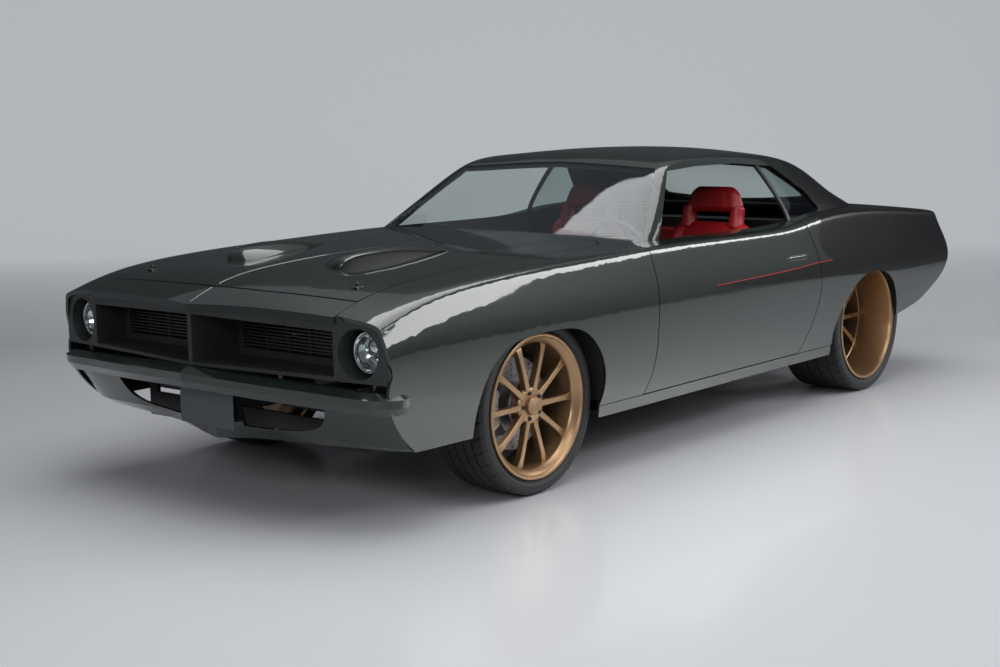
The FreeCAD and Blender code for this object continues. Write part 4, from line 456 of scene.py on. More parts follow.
# %% [markdown]
# A panel keeps its cut outline and its thickness. Only long edges of its outer face are halved, until they
# are short beside the curve, and every new point is laid on the surface.

# %% Fine panels
ON_SKIN, MOST_MOVED, SAME_WAY, SMOOTH_WITH, HALVINGS = 2e-4, 0.006, 0.8, 0.85, 9


def piece_from(name, bm, body, finish):
    mesh = bpy.data.meshes.new(name)
    bm.to_mesh(mesh)
    bm.free()
    mesh.materials.append(finish)
    piece = bpy.data.objects.new(name, mesh)
    bpy.context.scene.collection.objects.link(piece)
    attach(piece, body)
    return piece


def body_of(node):
    return next(b for b, members in frame["record"]["behaviour"]["bodies"].items() if node in members)


def skin_of(face, lying, count):
    """Number of the skin on which a whole face lies, if any."""
    shared = set(range(count))
    for vert in face.verts:
        shared &= lying.get(vert, set())
    return min(shared) if shared else None


def halved(bm, lying, skins, longest):
    """Halves long edges of the faces on a skin and lays the new points on it; False where none is long."""
    outer = {face: skin_of(face, lying, len(skins)) for face in bm.faces}
    long_edges = {edge: True for face, number in outer.items() if number is not None
                  for edge in face.edges if edge.calc_length() > longest}
    if not long_edges:
        return False
    made = bmesh.ops.subdivide_edges(bm, edges=list(long_edges), cuts=1)
    fresh = [item for item in made["geom_inner"] if isinstance(item, bmesh.types.BMVert)]
    bmesh.ops.triangulate(bm, faces=[face for face in bm.faces if len(face.verts) > 3])
    for vert in fresh:
        others = [edge.other_vert(vert) for edge in vert.link_edges]
        near = [lying[other] for other in others if other in lying]
        lying[vert] = set.union(*near) if near else set()
    for number, skin in enumerate(skins):
        moved = [vert for vert in fresh if number in lying[vert]]
        if not moved:
            continue
        for vert, co in zip(moved, skin.nearest([vert.co for vert in moved])[0]):
            if (Vector(co) - vert.co).length < MOST_MOVED:
                vert.co = co
            else:
                lying[vert].discard(number)
    return True


def shading_normals(bm, lying, skins):
    """The skin's own normal at each corner that lies on it, and a smoothed one elsewhere."""
    exact = [dict() for _ in skins]
    for number, skin in enumerate(skins):
        held = [vert for vert in bm.verts if number in lying.get(vert, ())]
        if held:
            exact[number] = dict(zip((v.index for v in held), skin.nearest([v.co for v in held])[1]))
    normals = []
    for face in bm.faces:
        number = skin_of(face, lying, len(skins))
        for loop in face.loops:
            normal = Vector(exact[number][loop.vert.index]) if number is not None else Vector((0, 0, 0))
            if normal.dot(face.normal) < 0:
                normal.negate()
            if normal.dot(face.normal) < SAME_WAY:
                near = [f for f in loop.vert.link_faces if f.normal.dot(face.normal) > SMOOTH_WITH]
                normal = sum((f.normal * f.calc_area() for f in near), Vector((0, 0, 0)))
                normal = normal.normalized() if normal.length > 0 else face.normal.copy()
            normals.append(normal)
    return normals


def fine_panel(node, skins, longest=0.035):
    """The panel of a CAD node with a finer, exactly shaded outer face."""
    bm = bmesh.new()
    bm.from_mesh(nodes[node].data)
    bmesh.ops.remove_doubles(bm, verts=bm.verts, dist=1e-6)
    lying = {}
    points = np.array([v.co for v in bm.verts])
    for number, skin in enumerate(skins):
        off = np.linalg.norm(skin.nearest(points)[0] - points, axis=1)
        for vert, gap in zip(bm.verts, off):
            if gap < ON_SKIN:
                lying.setdefault(vert, set()).add(number)
    for _ in range(HALVINGS):
        if not halved(bm, lying, skins, longest):
            break
    bm.normal_update()
    bm.verts.index_update()
    normals = shading_normals(bm, lying, skins)
    piece = piece_from(node + "_fine", bm, body_of(node), nodes[node].data.materials[0])
    piece.data.normals_split_custom_set(normals)
    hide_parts(node)
    print(node, len(piece.data.polygons), "faces")


for panel in ("hood", "nose_panel", "front_fenders", "door_left", "door_right", "quarter_panels",
              "cowl_panel", "rear_deck_panel", "deck_lid", "rocker_panels"):
    fine_panel(panel, [lower_skin])
fine_panel("roof_panel", [upper_skin])
GLASS_SETBACK, GLASS_THICKNESS = 0.006, 0.006
panes = [Skin([upper_row(*row, inset=depth) for row in UPPER_BODY])
         for depth in (GLASS_SETBACK, GLASS_SETBACK + GLASS_THICKNESS)]
fine_panel("window_glass", panes, 0.06)

# %% [markdown]
# ## Turned and lofted pieces
# Wheels, tyres and lamps are turned on a lathe or moulded round, so each is an outline swept about its axle.
# Spokes, scoops and pads are skins drawn through a row of sections. Two helpers make these grids, and a
# third joins several meshes to one piece that rides on a body of the car.

# %% Sweep, loft and add a piece
SIDES = (("left", 1), ("right", -1))


def swept(outline, steps, centre, closed=True, axis="x", push=None):
    """A grid swept from (along, out) points; push gives what each row and column moves out by."""
    along, out = (np.array(values) for values in zip(*outline))
    turn = np.arange(steps) * 2 * math.pi / steps
    radius = np.repeat(out[None, :], steps, axis=0)
    if push is not None:
        radius = radius + push(steps, along, out)
    one, two = radius * np.cos(turn)[:, None], radius * np.sin(turn)[:, None]
    line = np.repeat(along[None, :], steps, axis=0)
    grid = np.stack((line, one, two) if axis == "x" else (two, line, one), axis=2)
    bm = bmesh.new()
    rows = [[bm.verts.new(Vector(centre) + Vector(point)) for point in row] for row in grid]
    count = len(outline)
    for row, following in zip(rows, rows[1:] + rows[:1]):
        for column in range(count if closed else count - 1):
            after = (column + 1) % count
            bm.faces.new((row[column], following[column], following[after], row[after]))
    bmesh.ops.remove_doubles(bm, verts=bm.verts, dist=1e-7)
    bmesh.ops.recalc_face_normals(bm, faces=bm.faces)
    return bm


def lofted(sections):
    """Closed skin through rings that have the same number of points."""
    bm = bmesh.new()
    rings = [[bm.verts.new(point) for point in ring] for ring in sections]
    count = len(rings[0])
    for first, second in zip(rings, rings[1:]):
        for index in range(count):
            after = (index + 1) % count
            bm.faces.new((first[index], first[after], second[after], second[index]))
    bm.faces.new(rings[0][::-1])
    bm.faces.new(rings[-1])
    bmesh.ops.recalc_face_normals(bm, faces=bm.faces)
    return bm


def rounded(half_one, half_two, count, power_one, power_two):
    """Points of a rectangle with round corners: the smaller the powers, the squarer it is."""
    points = []
    for step in range(count):
        one, two = math.cos(2 * math.pi * step / count), math.sin(2 * math.pi * step / count)
        points.append((half_one * math.copysign(abs(one) ** power_one, one),
                       half_two * math.copysign(abs(two) ** power_two, two)))
    return points


def add(name, parts, body, finish, crisp=40, stands_for=None, sign=1):
    """One piece from several meshes, smooth but for the edges sharper than an angle."""
    whole = bmesh.new()
    for bm in parts:
        mesh = bpy.data.meshes.new("part")
        bm.to_mesh(mesh)
        bm.free()
        whole.from_mesh(mesh)
        bpy.data.meshes.remove(mesh)
    if sign < 0:
        for vert in whole.verts:
            vert.co.x = -vert.co.x
        bmesh.ops.reverse_faces(whole, faces=whole.faces)
    piece = piece_from(name, whole, body, finish)
    for face in piece.data.polygons:
        face.use_smooth = True
    piece.data.set_sharp_from_angle(angle=math.radians(crisp))
    if stands_for:
        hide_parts(stands_for)
    return piece


# %% [markdown]
# ## Tyres
# A low sport tyre has a nearly flat sidewall with fine rings, a rounded shoulder, and a tread of ribs parted
# by grooves. The grid follows the groove pattern, so the tread is real geometry: the ring grooves come from
# the outline, and the cross cuts push single cells in.

# %% Sizes of the two kinds of wheel
Wheel = namedtuple("Wheel", "end axle height track rim width dish disc hat")
WHEELS = (Wheel("front", -1.3585, 0.345, 0.750, 0.284, 0.255, 0.034, 0.735, 0.8015),
          Wheel("rear", 1.3845, 0.360, 0.726, 0.296, 0.330, 0.178, 0.606, 0.671))
for wheel in WHEELS:
    print(wheel.end, "tyre", 2 * wheel.height, "m high and", wheel.width, "m wide")

# %% Treaded tyres
GROOVES, GROOVE_WIDTH, GROOVE_DEPTH, GROOVE_WALL, RIB_CELLS = 4, 0.010, 0.007, 0.0015, 5
CUT_DEPTH, CUT_SLANT, SIPE_DEPTH, SIPE_PITCH, TYRE_STEPS = 0.0055, 0.012, 0.0025, 0.004, 360
SHOULDER_FROM, SHOULDER_PERIOD, MIDDLE_PERIOD, UNCUT_MIDDLE = 0.55, 10, 15, 0.08


def tyre_outline(half, rim, radius):
    """Outline of a tyre from bead to bead, with its ring grooves."""
    bead = half - 0.0163
    side = [(bead, rim - 0.0167), (bead, rim + 0.001), (bead + 0.004, rim + 0.004),
            (bead + 0.007, rim + 0.007), (bead + 0.0055, rim + 0.010), (half - 0.004, rim + 0.016),
            (half - 0.002, rim + 0.024),
            (half - 0.0035, rim + 0.0255), (half - 0.001, rim + 0.027), (half - 0.001, rim + 0.036),
            (half - 0.003, radius - 0.018), (half - 0.0075, radius - 0.0105),
            (half - 0.0105, radius - 0.0085), (half - 0.016, radius - 0.003)]
    tread = half - 0.022
    rib = (2 * tread - GROOVES * GROOVE_WIDTH) / (GROOVES + 1)
    run = []
    x = tread
    for index in range(GROOVES + 1):
        run += [(x - rib * step / RIB_CELLS, radius) for step in range(RIB_CELLS + 1)]
        x -= rib
        if index < GROOVES:
            floor = radius - GROOVE_DEPTH
            run += [(x - GROOVE_WALL, floor), (x - GROOVE_WIDTH + GROOVE_WALL, floor)]
            x -= GROOVE_WIDTH
    crown = [(x, out - 0.0035 * (x / tread) ** 2) for x, out in run]
    return side + crown + [(-x, out) for x, out in reversed(side)]


def treaded_tyre(node, wheel, sign):
    half = wheel.width / 2

    def cuts(steps, along, out):
        depth = np.zeros((steps, len(along)))
        for column, (x, reach) in enumerate(zip(along, out)):
            if reach < wheel.height - 0.0120 or abs(x) > half - 0.002:
                continue
            place = np.arange(steps) + int(round(abs(x) / CUT_SLANT))
            period = SHOULDER_PERIOD if abs(x) > half * SHOULDER_FROM else MIDDLE_PERIOD
            if abs(x) > half * UNCUT_MIDDLE:
                depth[place % period == 0, column] = -CUT_DEPTH
            if int(round(x / SIPE_PITCH)) % 3:
                depth[(place + period // 2) % period == 0, column] = -SIPE_DEPTH
        return depth

    outline = [(x * sign, out) for x, out in tyre_outline(half, wheel.rim, wheel.height)]
    tyre = swept(outline, TYRE_STEPS, (wheel.track * sign, wheel.axle, wheel.height), push=cuts)
    return add(node + "_treaded", [tyre], body_of(node), RUBBER, 28, node)


for side, sign in SIDES:
    for wheel in WHEELS:
        tyre = treaded_tyre(f"tyre_{wheel.end}_{side}", wheel, sign)
        print(tyre.name, len(tyre.data.polygons), "faces")

# %% [markdown]
# ## Wheels
# Forged wheels: a deep turned barrel with a thin rounded lip, and ten slim spokes that widen into it. Each
# spoke is lofted from a few chamfered sections, so that its edges catch the light as milled ones do.

# %% Barrels, spokes and hubs
SPOKES, SPOKE_EDGE, HUB_RADIUS, NUTS, NUT_CIRCLE = 10, 0.0022, 0.060, 5, 0.052
DARK_STEEL = metal_finish("dark_steel", (0.06, 0.055, 0.05), 0.9, 0.3)


def spoke(face, reach, turn, centre):
    """One spoke out from the hub, lofted through (distance out, half width, front, back) stations."""
    stations = [(HUB_RADIUS * 0.55, 0.0150, -0.004, -0.036), (HUB_RADIUS * 1.15, 0.0125, -0.001, -0.034),
                (reach * 0.55, 0.0105, 0.001, -0.030), (reach * 0.82, 0.0115, 0.001, -0.030),
                (reach * 0.94, 0.0145, -0.001, -0.034), (reach, 0.0185, -0.006, -0.040)]
    rings = []
    for out, half, front, back in stations:
        front, back, slim = face + front, face + back, half * 0.8
        section = [(-half, front - SPOKE_EDGE), (-half + SPOKE_EDGE, front), (half - SPOKE_EDGE, front),
                   (half, front - SPOKE_EDGE), (slim, back + SPOKE_EDGE), (slim - SPOKE_EDGE, back),
                   (-slim + SPOKE_EDGE, back), (-slim, back + SPOKE_EDGE)]
        rings.append([Vector((x, y * math.cos(turn) - out * math.sin(turn),
                              y * math.sin(turn) + out * math.cos(turn))) + Vector(centre)
                      for y, x in section])
    return lofted(rings)


def barrel_outline(wheel):
    """Outline of the rim: lip, bead seats and well outside, and the dish that runs in to the spokes."""
    half, radius = wheel.width / 2 - 0.004, wheel.rim
    lip, back = wheel.track + half, wheel.track - half
    bead, mouth = radius - 0.0172, radius - 0.0135
    foot = bead - 0.0235
    outline = [(lip - 0.0015, radius - 0.0015), (lip - 0.005, radius), (lip - 0.012, radius - 0.001),
               (lip - 0.0125, bead), (lip - 0.048, bead), (wheel.track, bead - 0.020), (back + 0.048, bead),
               (back + 0.0125, bead), (back + 0.012, radius - 0.001), (back, radius - 0.002),
               (back + 0.002, radius - 0.012), (back + 0.03, foot + 0.004),
               (wheel.track - 0.02, bead - 0.030)]
    run = max(wheel.dish - 0.006, 0.012)
    outline += [(lip - 0.006 - run * part, foot + (mouth - 0.003 - foot) * (1 - part) ** 1.5)
                for part in (1.0, 0.85, 0.7, 0.55, 0.4, 0.28, 0.16, 0.08, 0.0)]
    outline += [(lip - 0.003, mouth - 0.0012), (lip - 0.001, mouth), (lip, mouth + 0.002),
                (lip, radius - 0.004)]
    return outline, lip - wheel.dish, foot + 0.004


HUB = [(-0.040, 0.0), (-0.040, 0.074), (-0.012, 0.074), (-0.004, 0.068), (-0.001, 0.060), (-0.001, 0.044),
       (-0.003, 0.041), (-0.003, 0.036), (0.010, 0.036), (0.0125, 0.034), (0.0125, 0.027), (0.0115, 0.025),
       (0.0115, 0.0)]
NUT = [(-0.006, 0.0), (-0.006, 0.0085), (0.0035, 0.0085), (0.005, 0.007), (0.005, 0.004), (0.002, 0.0035),
       (0.002, 0.0)]


def forged_wheel(node, wheel, sign):
    outline, face, reach = barrel_outline(wheel)
    centre = (0, wheel.axle, wheel.height)
    parts = [swept(outline, 160, centre)]
    parts += [spoke(face, reach, math.radians(36 * step + 18), centre) for step in range(SPOKES)]
    parts.append(swept([(face + x, out) for x, out in HUB], 96, centre, closed=False))
    add(node + "_forged", parts, body_of(node), BRONZE, 32, node, sign)
    nuts = []
    for step in range(NUTS):
        turn = math.radians(72 * step + 36)
        place = (0, wheel.axle + NUT_CIRCLE * math.cos(turn), wheel.height + NUT_CIRCLE * math.sin(turn))
        nuts.append(swept([(face + x, out) for x, out in NUT], 24, place, closed=False))
    add(node + "_nuts", nuts, body_of(node), DARK_STEEL, 30, sign=sign)


for side, sign in SIDES:
    for wheel in WHEELS:
        forged_wheel(f"rim_{wheel.end}_{side}", wheel, sign)
print("four wheels forged")

# %% [markdown]
# ## Brakes
# The discs are cross drilled. Each disc is a grid of cells on both faces, and where a hole goes the two
# cells are left out and the four walls between the faces are put in. A pale caliper grips each disc: a block
# on its outer face and a bridge over its rim.

# %% Drilled discs and calipers
DISC_INNER, DISC_OUTER, DISC_HALF, HAT_BORE = 0.092, 0.182, 0.014, 0.0301
DISC_STEPS, DISC_BANDS, HOLE_BANDS, HOLE_EVERY = 144, 12, (2, 5, 8, 10), 6
CALIPER = metal_finish("pale_caliper", (0.52, 0.50, 0.46), 0.6, 0.35)
CALIPER_BLOCKS = ((0.1220, 0.2145, 0.0165, 0.0385, 29), (0.1845, 0.2160, -0.0370, 0.0370, 26))
CALIPER_PLACE = {"front": 180, "rear": 165}


def drilled_ring(wheel, sign):
    bm = bmesh.new()
    grid = {}
    for face, x in enumerate((wheel.disc + DISC_HALF, wheel.disc - DISC_HALF)):
        for step in range(DISC_STEPS):
            turn = 2 * math.pi * step / DISC_STEPS
            for band in range(DISC_BANDS + 1):
                reach = DISC_INNER + (DISC_OUTER - DISC_INNER) * band / DISC_BANDS
                grid[face, step, band] = bm.verts.new((x * sign, wheel.axle + reach * math.cos(turn),
                                                       wheel.height + reach * math.sin(turn)))
    for step in range(DISC_STEPS):
        after = (step + 1) % DISC_STEPS
        for band in range(DISC_BANDS):
            ring = [(step, band), (after, band), (after, band + 1), (step, band + 1)]
            if band in HOLE_BANDS and (step + band * 2) % HOLE_EVERY == 0:
                for (s0, b0), (s1, b1) in zip(ring, ring[1:] + ring[:1]):
                    bm.faces.new((grid[0, s0, b0], grid[0, s1, b1], grid[1, s1, b1], grid[1, s0, b0]))
            else:
                for face in (0, 1):
                    bm.faces.new([grid[face, s, b] for s, b in ring])
        for band in (0, DISC_BANDS):
            bm.faces.new((grid[0, step, band], grid[0, after, band],
                          grid[1, after, band], grid[1, step, band]))
    bmesh.ops.recalc_face_normals(bm, faces=bm.faces)
    return bm


def arc_block(inner, outer, x_in, x_out, middle, half_turn, wheel, sign, edge=0.004):
    """A block with chamfered edges that follows the disc's rim over a part of a turn."""
    rings = []
    for turn in np.linspace(middle - half_turn, middle + half_turn, 15):
        ease = edge + (0.010 if abs(turn - middle) / half_turn > 0.99 else 0.0)
        section = [(x_in, inner + ease), (x_in + edge, inner), (x_out - ease, inner), (x_out, inner + ease),
                   (x_out, outer - ease), (x_out - ease, outer), (x_in + edge, outer), (x_in, outer - ease)]
        rings.append([Vector((sign * x, wheel.axle + reach * math.cos(turn),
                              wheel.height + reach * math.sin(turn))) for x, reach in section])
    return lofted(rings)


for side, sign in SIDES:
    for wheel in WHEELS:
        node = f"brake_disc_{wheel.end}_{side}"
        face = wheel.hat
        hat = [(wheel.disc - DISC_HALF, HAT_BORE), (wheel.disc - DISC_HALF, DISC_INNER),
               (face - 0.006, DISC_INNER), (face - 0.001, DISC_INNER - 0.005), (face - 0.0005, HAT_BORE)]
        hat = swept([(sign * x, out) for x, out in hat], 64, (0, wheel.axle, wheel.height))
        add(node + "_drilled", [drilled_ring(wheel, sign), hat], body_of(node), IRON, 30, node)
        blocks = [arc_block(inner, outer, wheel.disc + x_in, wheel.disc + x_out,
                            math.radians(CALIPER_PLACE[wheel.end]), math.radians(half_turn), wheel, sign)
                  for inner, outer, x_in, x_out, half_turn in CALIPER_BLOCKS]
        body = body_of("knuckle_" + side) if wheel.end == "front" else "body"
        add(f"caliper_{wheel.end}_{side}", blocks, body, CALIPER, 30)
print("four discs and calipers")

# %% [markdown]
# ## Lamps
# Each round lamp stands back in a short tube: a bright ring, a silvered bowl, a small projector lens over a
# square one, and a clear domed cover in front. A tail lamp is a ribbed red lens that lies on its panel.

# %% Headlamps
SILVER = metal_finish("silvered_bowl", (0.82, 0.83, 0.85), 1.0, 0.12, 60.0)
BRIGHT = metal_finish("bright_ring", (0.70, 0.71, 0.72), 1.0, 0.18, 90.0)
LAMP_X, LAMP_Y, LAMP_Z = 0.788, -2.176, 0.652
BOWL_RADIUS, BOWL_DEPTH, COVER_RADIUS, COVER_RISE = 0.0690, 0.050, 0.0655, 0.012
EYE_RADIUS, EYE_RISE = 0.0288, 0.020
LAMP_RING = [(0.0, 0.0660), (-0.004, 0.0675), (-0.0055, 0.071), (-0.004, 0.0745), (0.004, 0.0755),
             (0.060, 0.0755), (0.060, 0.0735), (0.006, 0.0700)]
EYE_RING = [(0.010, 0.0290), (0.008, 0.0305), (0.010, 0.0325), (0.045, 0.0325), (0.045, 0.0290)]
BOWL = [(0.004, 0.0695)] + [(0.006 + BOWL_DEPTH * (1 - part ** 2), BOWL_RADIUS * part)
                            for part in (1.0, 0.92, 0.82, 0.7, 0.56, 0.42, 0.3, 0.15, 0.0)]
EYE_LENS = [(0.014, 0.0290)] + [(0.004 + 0.010 * part ** 2, EYE_RADIUS * part)
                                for part in (0.95, 0.8, 0.6, 0.4, 0.2, 0.0)]
COVER = [(0.0, COVER_RADIUS)] + [(-COVER_RISE * (1 - part ** 2), COVER_RADIUS * part)
                                 for part in (0.9, 0.75, 0.6, 0.45, 0.3, 0.15, 0.0)]


def square_lens(x, z, half_x=0.026, half_z=0.013, edge=0.003):
    """The bright square under the projector, with bevelled front edges and rounded corners."""
    front, back = LAMP_Y + 0.010, LAMP_Y + 0.045
    rings = [[Vector((x + one, y, z + two))
              for one, two in rounded(half_x - less, half_z - less, 24, 0.35, 0.35)]
             for y, less in ((back, 0.0), (front + edge, 0.0), (front, edge))]
    return lofted(rings)


bowls, rings, covers, lights = [], [], [], []
for sign in (1, -1):
    centre = (sign * LAMP_X, LAMP_Y, LAMP_Z)
    upper = (sign * LAMP_X, LAMP_Y, LAMP_Z + EYE_RISE)
    rings += [swept(LAMP_RING, 72, centre, axis="y"), swept(EYE_RING, 48, upper, axis="y")]
    bowls += [swept(BOWL, 72, centre, closed=False, axis="y"), square_lens(centre[0], LAMP_Z - 0.032)]
    lights.append(swept(EYE_LENS, 40, upper, closed=False, axis="y"))
    covers.append(swept(COVER, 64, centre, closed=False, axis="y"))
add("headlamps_bowls", bowls, "body", SILVER, stands_for="headlamps")
add("headlamps_rings", rings, "body", BRIGHT)
add("headlamps_lenses", lights, "body", SILVER)
add("headlamps_covers", covers, "body", GLASS)
print("two headlamps")


# %% Tail lamp lenses
def tree_of(*names):
    """The faces of some nodes, to lay small pieces on."""
    points, faces = [], []
    for name in names:
        mesh = nodes[name].data
        start = len(points)
        points += [v.co.copy() for v in mesh.vertices]
        faces += [[start + index for index in face.vertices] for face in mesh.polygons]
    return BVHTree.FromPolygons(points, faces)


LENS_INNER, LENS_OUTER, LENS_LOW, LENS_HIGH = 0.257, 0.793, 0.686, 0.784
LENS_RIBS, RIB_STEPS, RIB_HEIGHT, LENS_LIFT, LENS_THICKNESS = 11, 8, 0.0028, 0.0006, 0.006
BESIDE_LENS = 2.26
tail_faces = tree_of("tail_lamps")
lenses = []
for sign in (1, -1):
    sections = []
    for part in np.linspace(0, 1, LENS_RIBS * RIB_STEPS + 1):
        x = sign * (LENS_INNER + (LENS_OUTER - LENS_INNER) * part)
        rise = LENS_LIFT + RIB_HEIGHT * abs(math.sin(math.pi * LENS_RIBS * part)) ** 0.5
        front = []
        for z in np.linspace(LENS_LOW, LENS_HIGH, 7):
            hit = tail_faces.ray_cast(Vector((x, 4.0, z)), Vector((0, -1, 0)))[0]
            front.append(Vector((x, (hit.y if hit else BESIDE_LENS) + rise, z)))
        sections.append(front + [point - Vector((0, LENS_THICKNESS, 0)) for point in front[::-1]])
    lenses.append(lofted(sections))
add("tail_lamp_lenses", lenses, "body", LENS)
print("two tail lamps")

# %% [markdown]
# ## Hood details
# Two long, low scoops open outward over a black mouth. Two black pins lock the hood's front corners, and a
# fine crease runs down the middle of the nose and the hood.

# %% Scoops
OVER_PANELS = 0.9
top_faces = tree_of("hood", "nose_panel", "cowl_panel")


def height_at(x, y):
    """Height of the panels at a place; over a gap between them it is a height above them all."""
    hit = top_faces.ray_cast(Vector((x, y, 2.0)), Vector((0, 0, -1)))[0]
    return hit.z if hit else OVER_PANELS


SCOOP_STATIONS = [(-1.862, 0.262, 0.318, 0.000), (-1.856, 0.236, 0.330, 0.022), (-1.835, 0.212, 0.340, 0.038),
                  (-1.800, 0.200, 0.346, 0.049), (-1.740, 0.196, 0.352, 0.054), (-1.660, 0.206, 0.357, 0.053),
                  (-1.580, 0.224, 0.361, 0.048), (-1.500, 0.246, 0.364, 0.039), (-1.420, 0.276, 0.367, 0.027),
                  (-1.350, 0.312, 0.369, 0.014), (-1.300, 0.345, 0.370, 0.001)]
SCOOP_CROWN = [(0.02, 0.06), (0.16, 0.40), (0.32, 0.68), (0.50, 0.84), (0.68, 0.90), (0.84, 0.90),
               (0.96, 0.86), (1.0, 0.80)]
SCOOP_FOOT, SCOOP_SHEET, MOUTH_SETBACK, MOUTH_TOP = 0.003, 0.006, 0.012, 0.90
shells, mouths = [], []
for sign in (1, -1):
    shell, mouth = [], []
    for y, inner, outer, rise in SCOOP_STATIONS:
        wide = outer - inner
        top = [Vector((sign * inner, y, height_at(inner, y) - SCOOP_FOOT))]
        for part, lift in SCOOP_CROWN:
            x = inner + wide * part
            top.append(Vector((sign * x, y, height_at(x, y) + rise * lift)))
        sheet = Vector((0, 0, min(SCOOP_SHEET, max(rise * 0.3, 0.0008))))
        shell.append(top + [point - sheet for point in top[::-1]])
        near = outer - min(MOUTH_SETBACK, wide * 0.25)
        sunk = -0.002 / max(rise, 0.002)
        wall = [(near, MOUTH_TOP), (near, 0.0), (near - MOUTH_SETBACK, sunk),
                (near - MOUTH_SETBACK, MOUTH_TOP)]
        mouth.append([Vector((sign * x, y, height_at(x, y) + rise * lift)) for x, lift in wall])
    shells.append(lofted(shell))
    mouths.append(lofted(mouth))
add("hood_scoops", shells, "hood", PAINT, 50)
add("hood_scoop_mouths", mouths, "hood", SEAL, 30)
print("two scoops, highest", max(rise for *_, rise in SCOOP_STATIONS), "m")

# %% Hood pins and the centre crease
PIN_X, PIN_Y, PETALS, PETAL_DEPTH = 0.585, -2.028, 6, 0.22
FLOWER = [(-0.003, 0.0), (-0.003, 0.019), (0.002, 0.0195), (0.004, 0.018), (0.0045, 0.012), (0.0045, 0.0)]
POST = [(0.004, 0.0045), (0.009, 0.004), (0.011, 0.0058), (0.014, 0.0068), (0.017, 0.0058), (0.019, 0.003),
        (0.0195, 0.0)]


def petals(steps, along, out):
    turn = np.arange(steps) * 2 * math.pi / steps
    wave = PETAL_DEPTH * np.cos(PETALS * turn)[:, None] * out[None, :]
    return np.where((out > 0.010)[None, :] & (along > 0)[None, :], wave, 0.0)


pins = []
for x in (PIN_X, -PIN_X):
    z = height_at(x, PIN_Y)
    for pin in (swept(FLOWER, 72, (0, 0, 0), closed=False, push=petals),
                swept(POST, 24, (0, 0, 0), closed=False)):
        for vert in pin.verts:
            vert.co = Vector((vert.co.y + x, vert.co.z + PIN_Y, vert.co.x + z))
        pins.append(pin)
add("hood_pins", pins, "hood", DARK_STEEL, 35)


def crease(name, start, stop, body):
    """A fine raised line along the middle of a panel."""
    rings = []
    for y in np.linspace(start, stop, 40):
        z = min(height_at(0.0005, y), height_at(0.004, y))
        rings.append([Vector((x, y, z + rise)) for x, rise in ((-0.007, -0.0015), (-0.0015, 0.0018),
                                                                (0.0015, 0.0018), (0.007, -0.0015))])
    add(name, [lofted(rings)], body, PAINT, 30)


crease("hood_centre_crease", -2.172, -1.30, "hood")
crease("nose_centre_crease", -2.312, -2.205, "body")
print("pins and crease")

# %% [markdown]
# ## Seats
# A sport seat is one upholstered shell: foam over a frame, with raised sides, a quilted middle and a
# headrest joined at both sides of an opening. Each part is a closed, crowned form; the sewn channels are
# pressed in.

# %% One padded part
ROLL_PLACE, ROLL_WIDTH, SIDE_SEAM, SEAM_WIDTH, SEAM_DEPTH, CROWN = 0.80, 0.14, 0.58, 0.025, 0.0045, 0.012
CHANNEL_PITCH, CROSS_PITCH, CHANNEL_WIDTH, CROSS_DEPTH, QUILT_HALF = 0.14, 0.055, 0.35, 0.7, 0.56
NO_QUILT = (0.0, 0.0)


def hump(distance, width):
    return math.exp(-(distance / width) ** 2)


def upholstered(path, rows, centre_x, columns, edge, quilt):
    """A pad along a path of (y, z, half width, thickness, side roll) stations, quilted over a share of it."""
    path = np.array(path)
    run = np.concatenate(([0.0], np.cumsum(np.hypot(np.diff(path[:, 0]), np.diff(path[:, 1])))))
    at = np.linspace(0.0, run[-1], rows)
    values = [np.interp(at, run, path[:, column]) for column in range(5)]
    tangent = np.stack((np.gradient(values[0], at), np.gradient(values[1], at)), axis=1)
    tangent /= np.linalg.norm(tangent, axis=1)[:, None]
    line = np.linspace(-1, 1, columns)
    rings = []
    for here, (ty, tz), (y, z, half, thick, roll) in zip(at, tangent, zip(*values)):
        away = min(here, run[-1] - here)
        end = max(math.sqrt(1 - max(0.0, 1 - away / edge) ** 2), 0.06)
        quilted = quilt[0] < here / run[-1] < quilt[1]
        ring = []
        for u in line:
            seam = hump(abs(u) - SIDE_SEAM, SEAM_WIDTH)
            if quilted and abs(u) < QUILT_HALF:
                seam += hump(math.sin(math.pi * u / CHANNEL_PITCH), CHANNEL_WIDTH)
                seam += CROSS_DEPTH * hump(math.sin(math.pi * here / CROSS_PITCH), CHANNEL_WIDTH)
            rise = thick / 2 + CROWN * (1 - u * u) + roll * hump(abs(u) - ROLL_PLACE, ROLL_WIDTH)
            ring.append((u, (rise - SEAM_DEPTH * seam) * (1 - abs(u) ** 4) ** 0.5))
        ring += [(u, -thick / 2 * (1 - abs(u) ** 4) ** 0.5) for u in line[-2:0:-1]]
        wide = half * (0.80 + 0.20 * end)
        reach = [(u, rise * end - thick / 2) for u, rise in ring]
        rings.append([Vector((centre_x + wide * u, y - tz * out, z + ty * out)) for u, out in reach])
    return lofted(rings)


# %% Front and rear seats
FRONT_CUSHION = [(0.005, 0.440, 0.215, 0.13, 0.030), (0.020, 0.525, 0.220, 0.15, 0.035),
                 (0.110, 0.522, 0.225, 0.16, 0.042), (0.300, 0.480, 0.225, 0.15, 0.045),
                 (0.470, 0.470, 0.215, 0.14, 0.030)]
FRONT_BACK = [(0.478, 0.440, 0.200, 0.10, 0.020), (0.515, 0.560, 0.220, 0.11, 0.045),
              (0.560, 0.700, 0.226, 0.11, 0.045), (0.606, 0.840, 0.233, 0.10, 0.035),
              (0.625, 0.890, 0.222, 0.085, 0.018), (0.632, 0.918, 0.196, 0.07, 0.005)]
FRONT_HEAD = [(0.648, 0.962, 0.168, 0.055, 0.006), (0.655, 1.005, 0.160, 0.068, 0.006),
              (0.664, 1.050, 0.142, 0.062, 0.004), (0.672, 1.088, 0.112, 0.045, 0.0)]
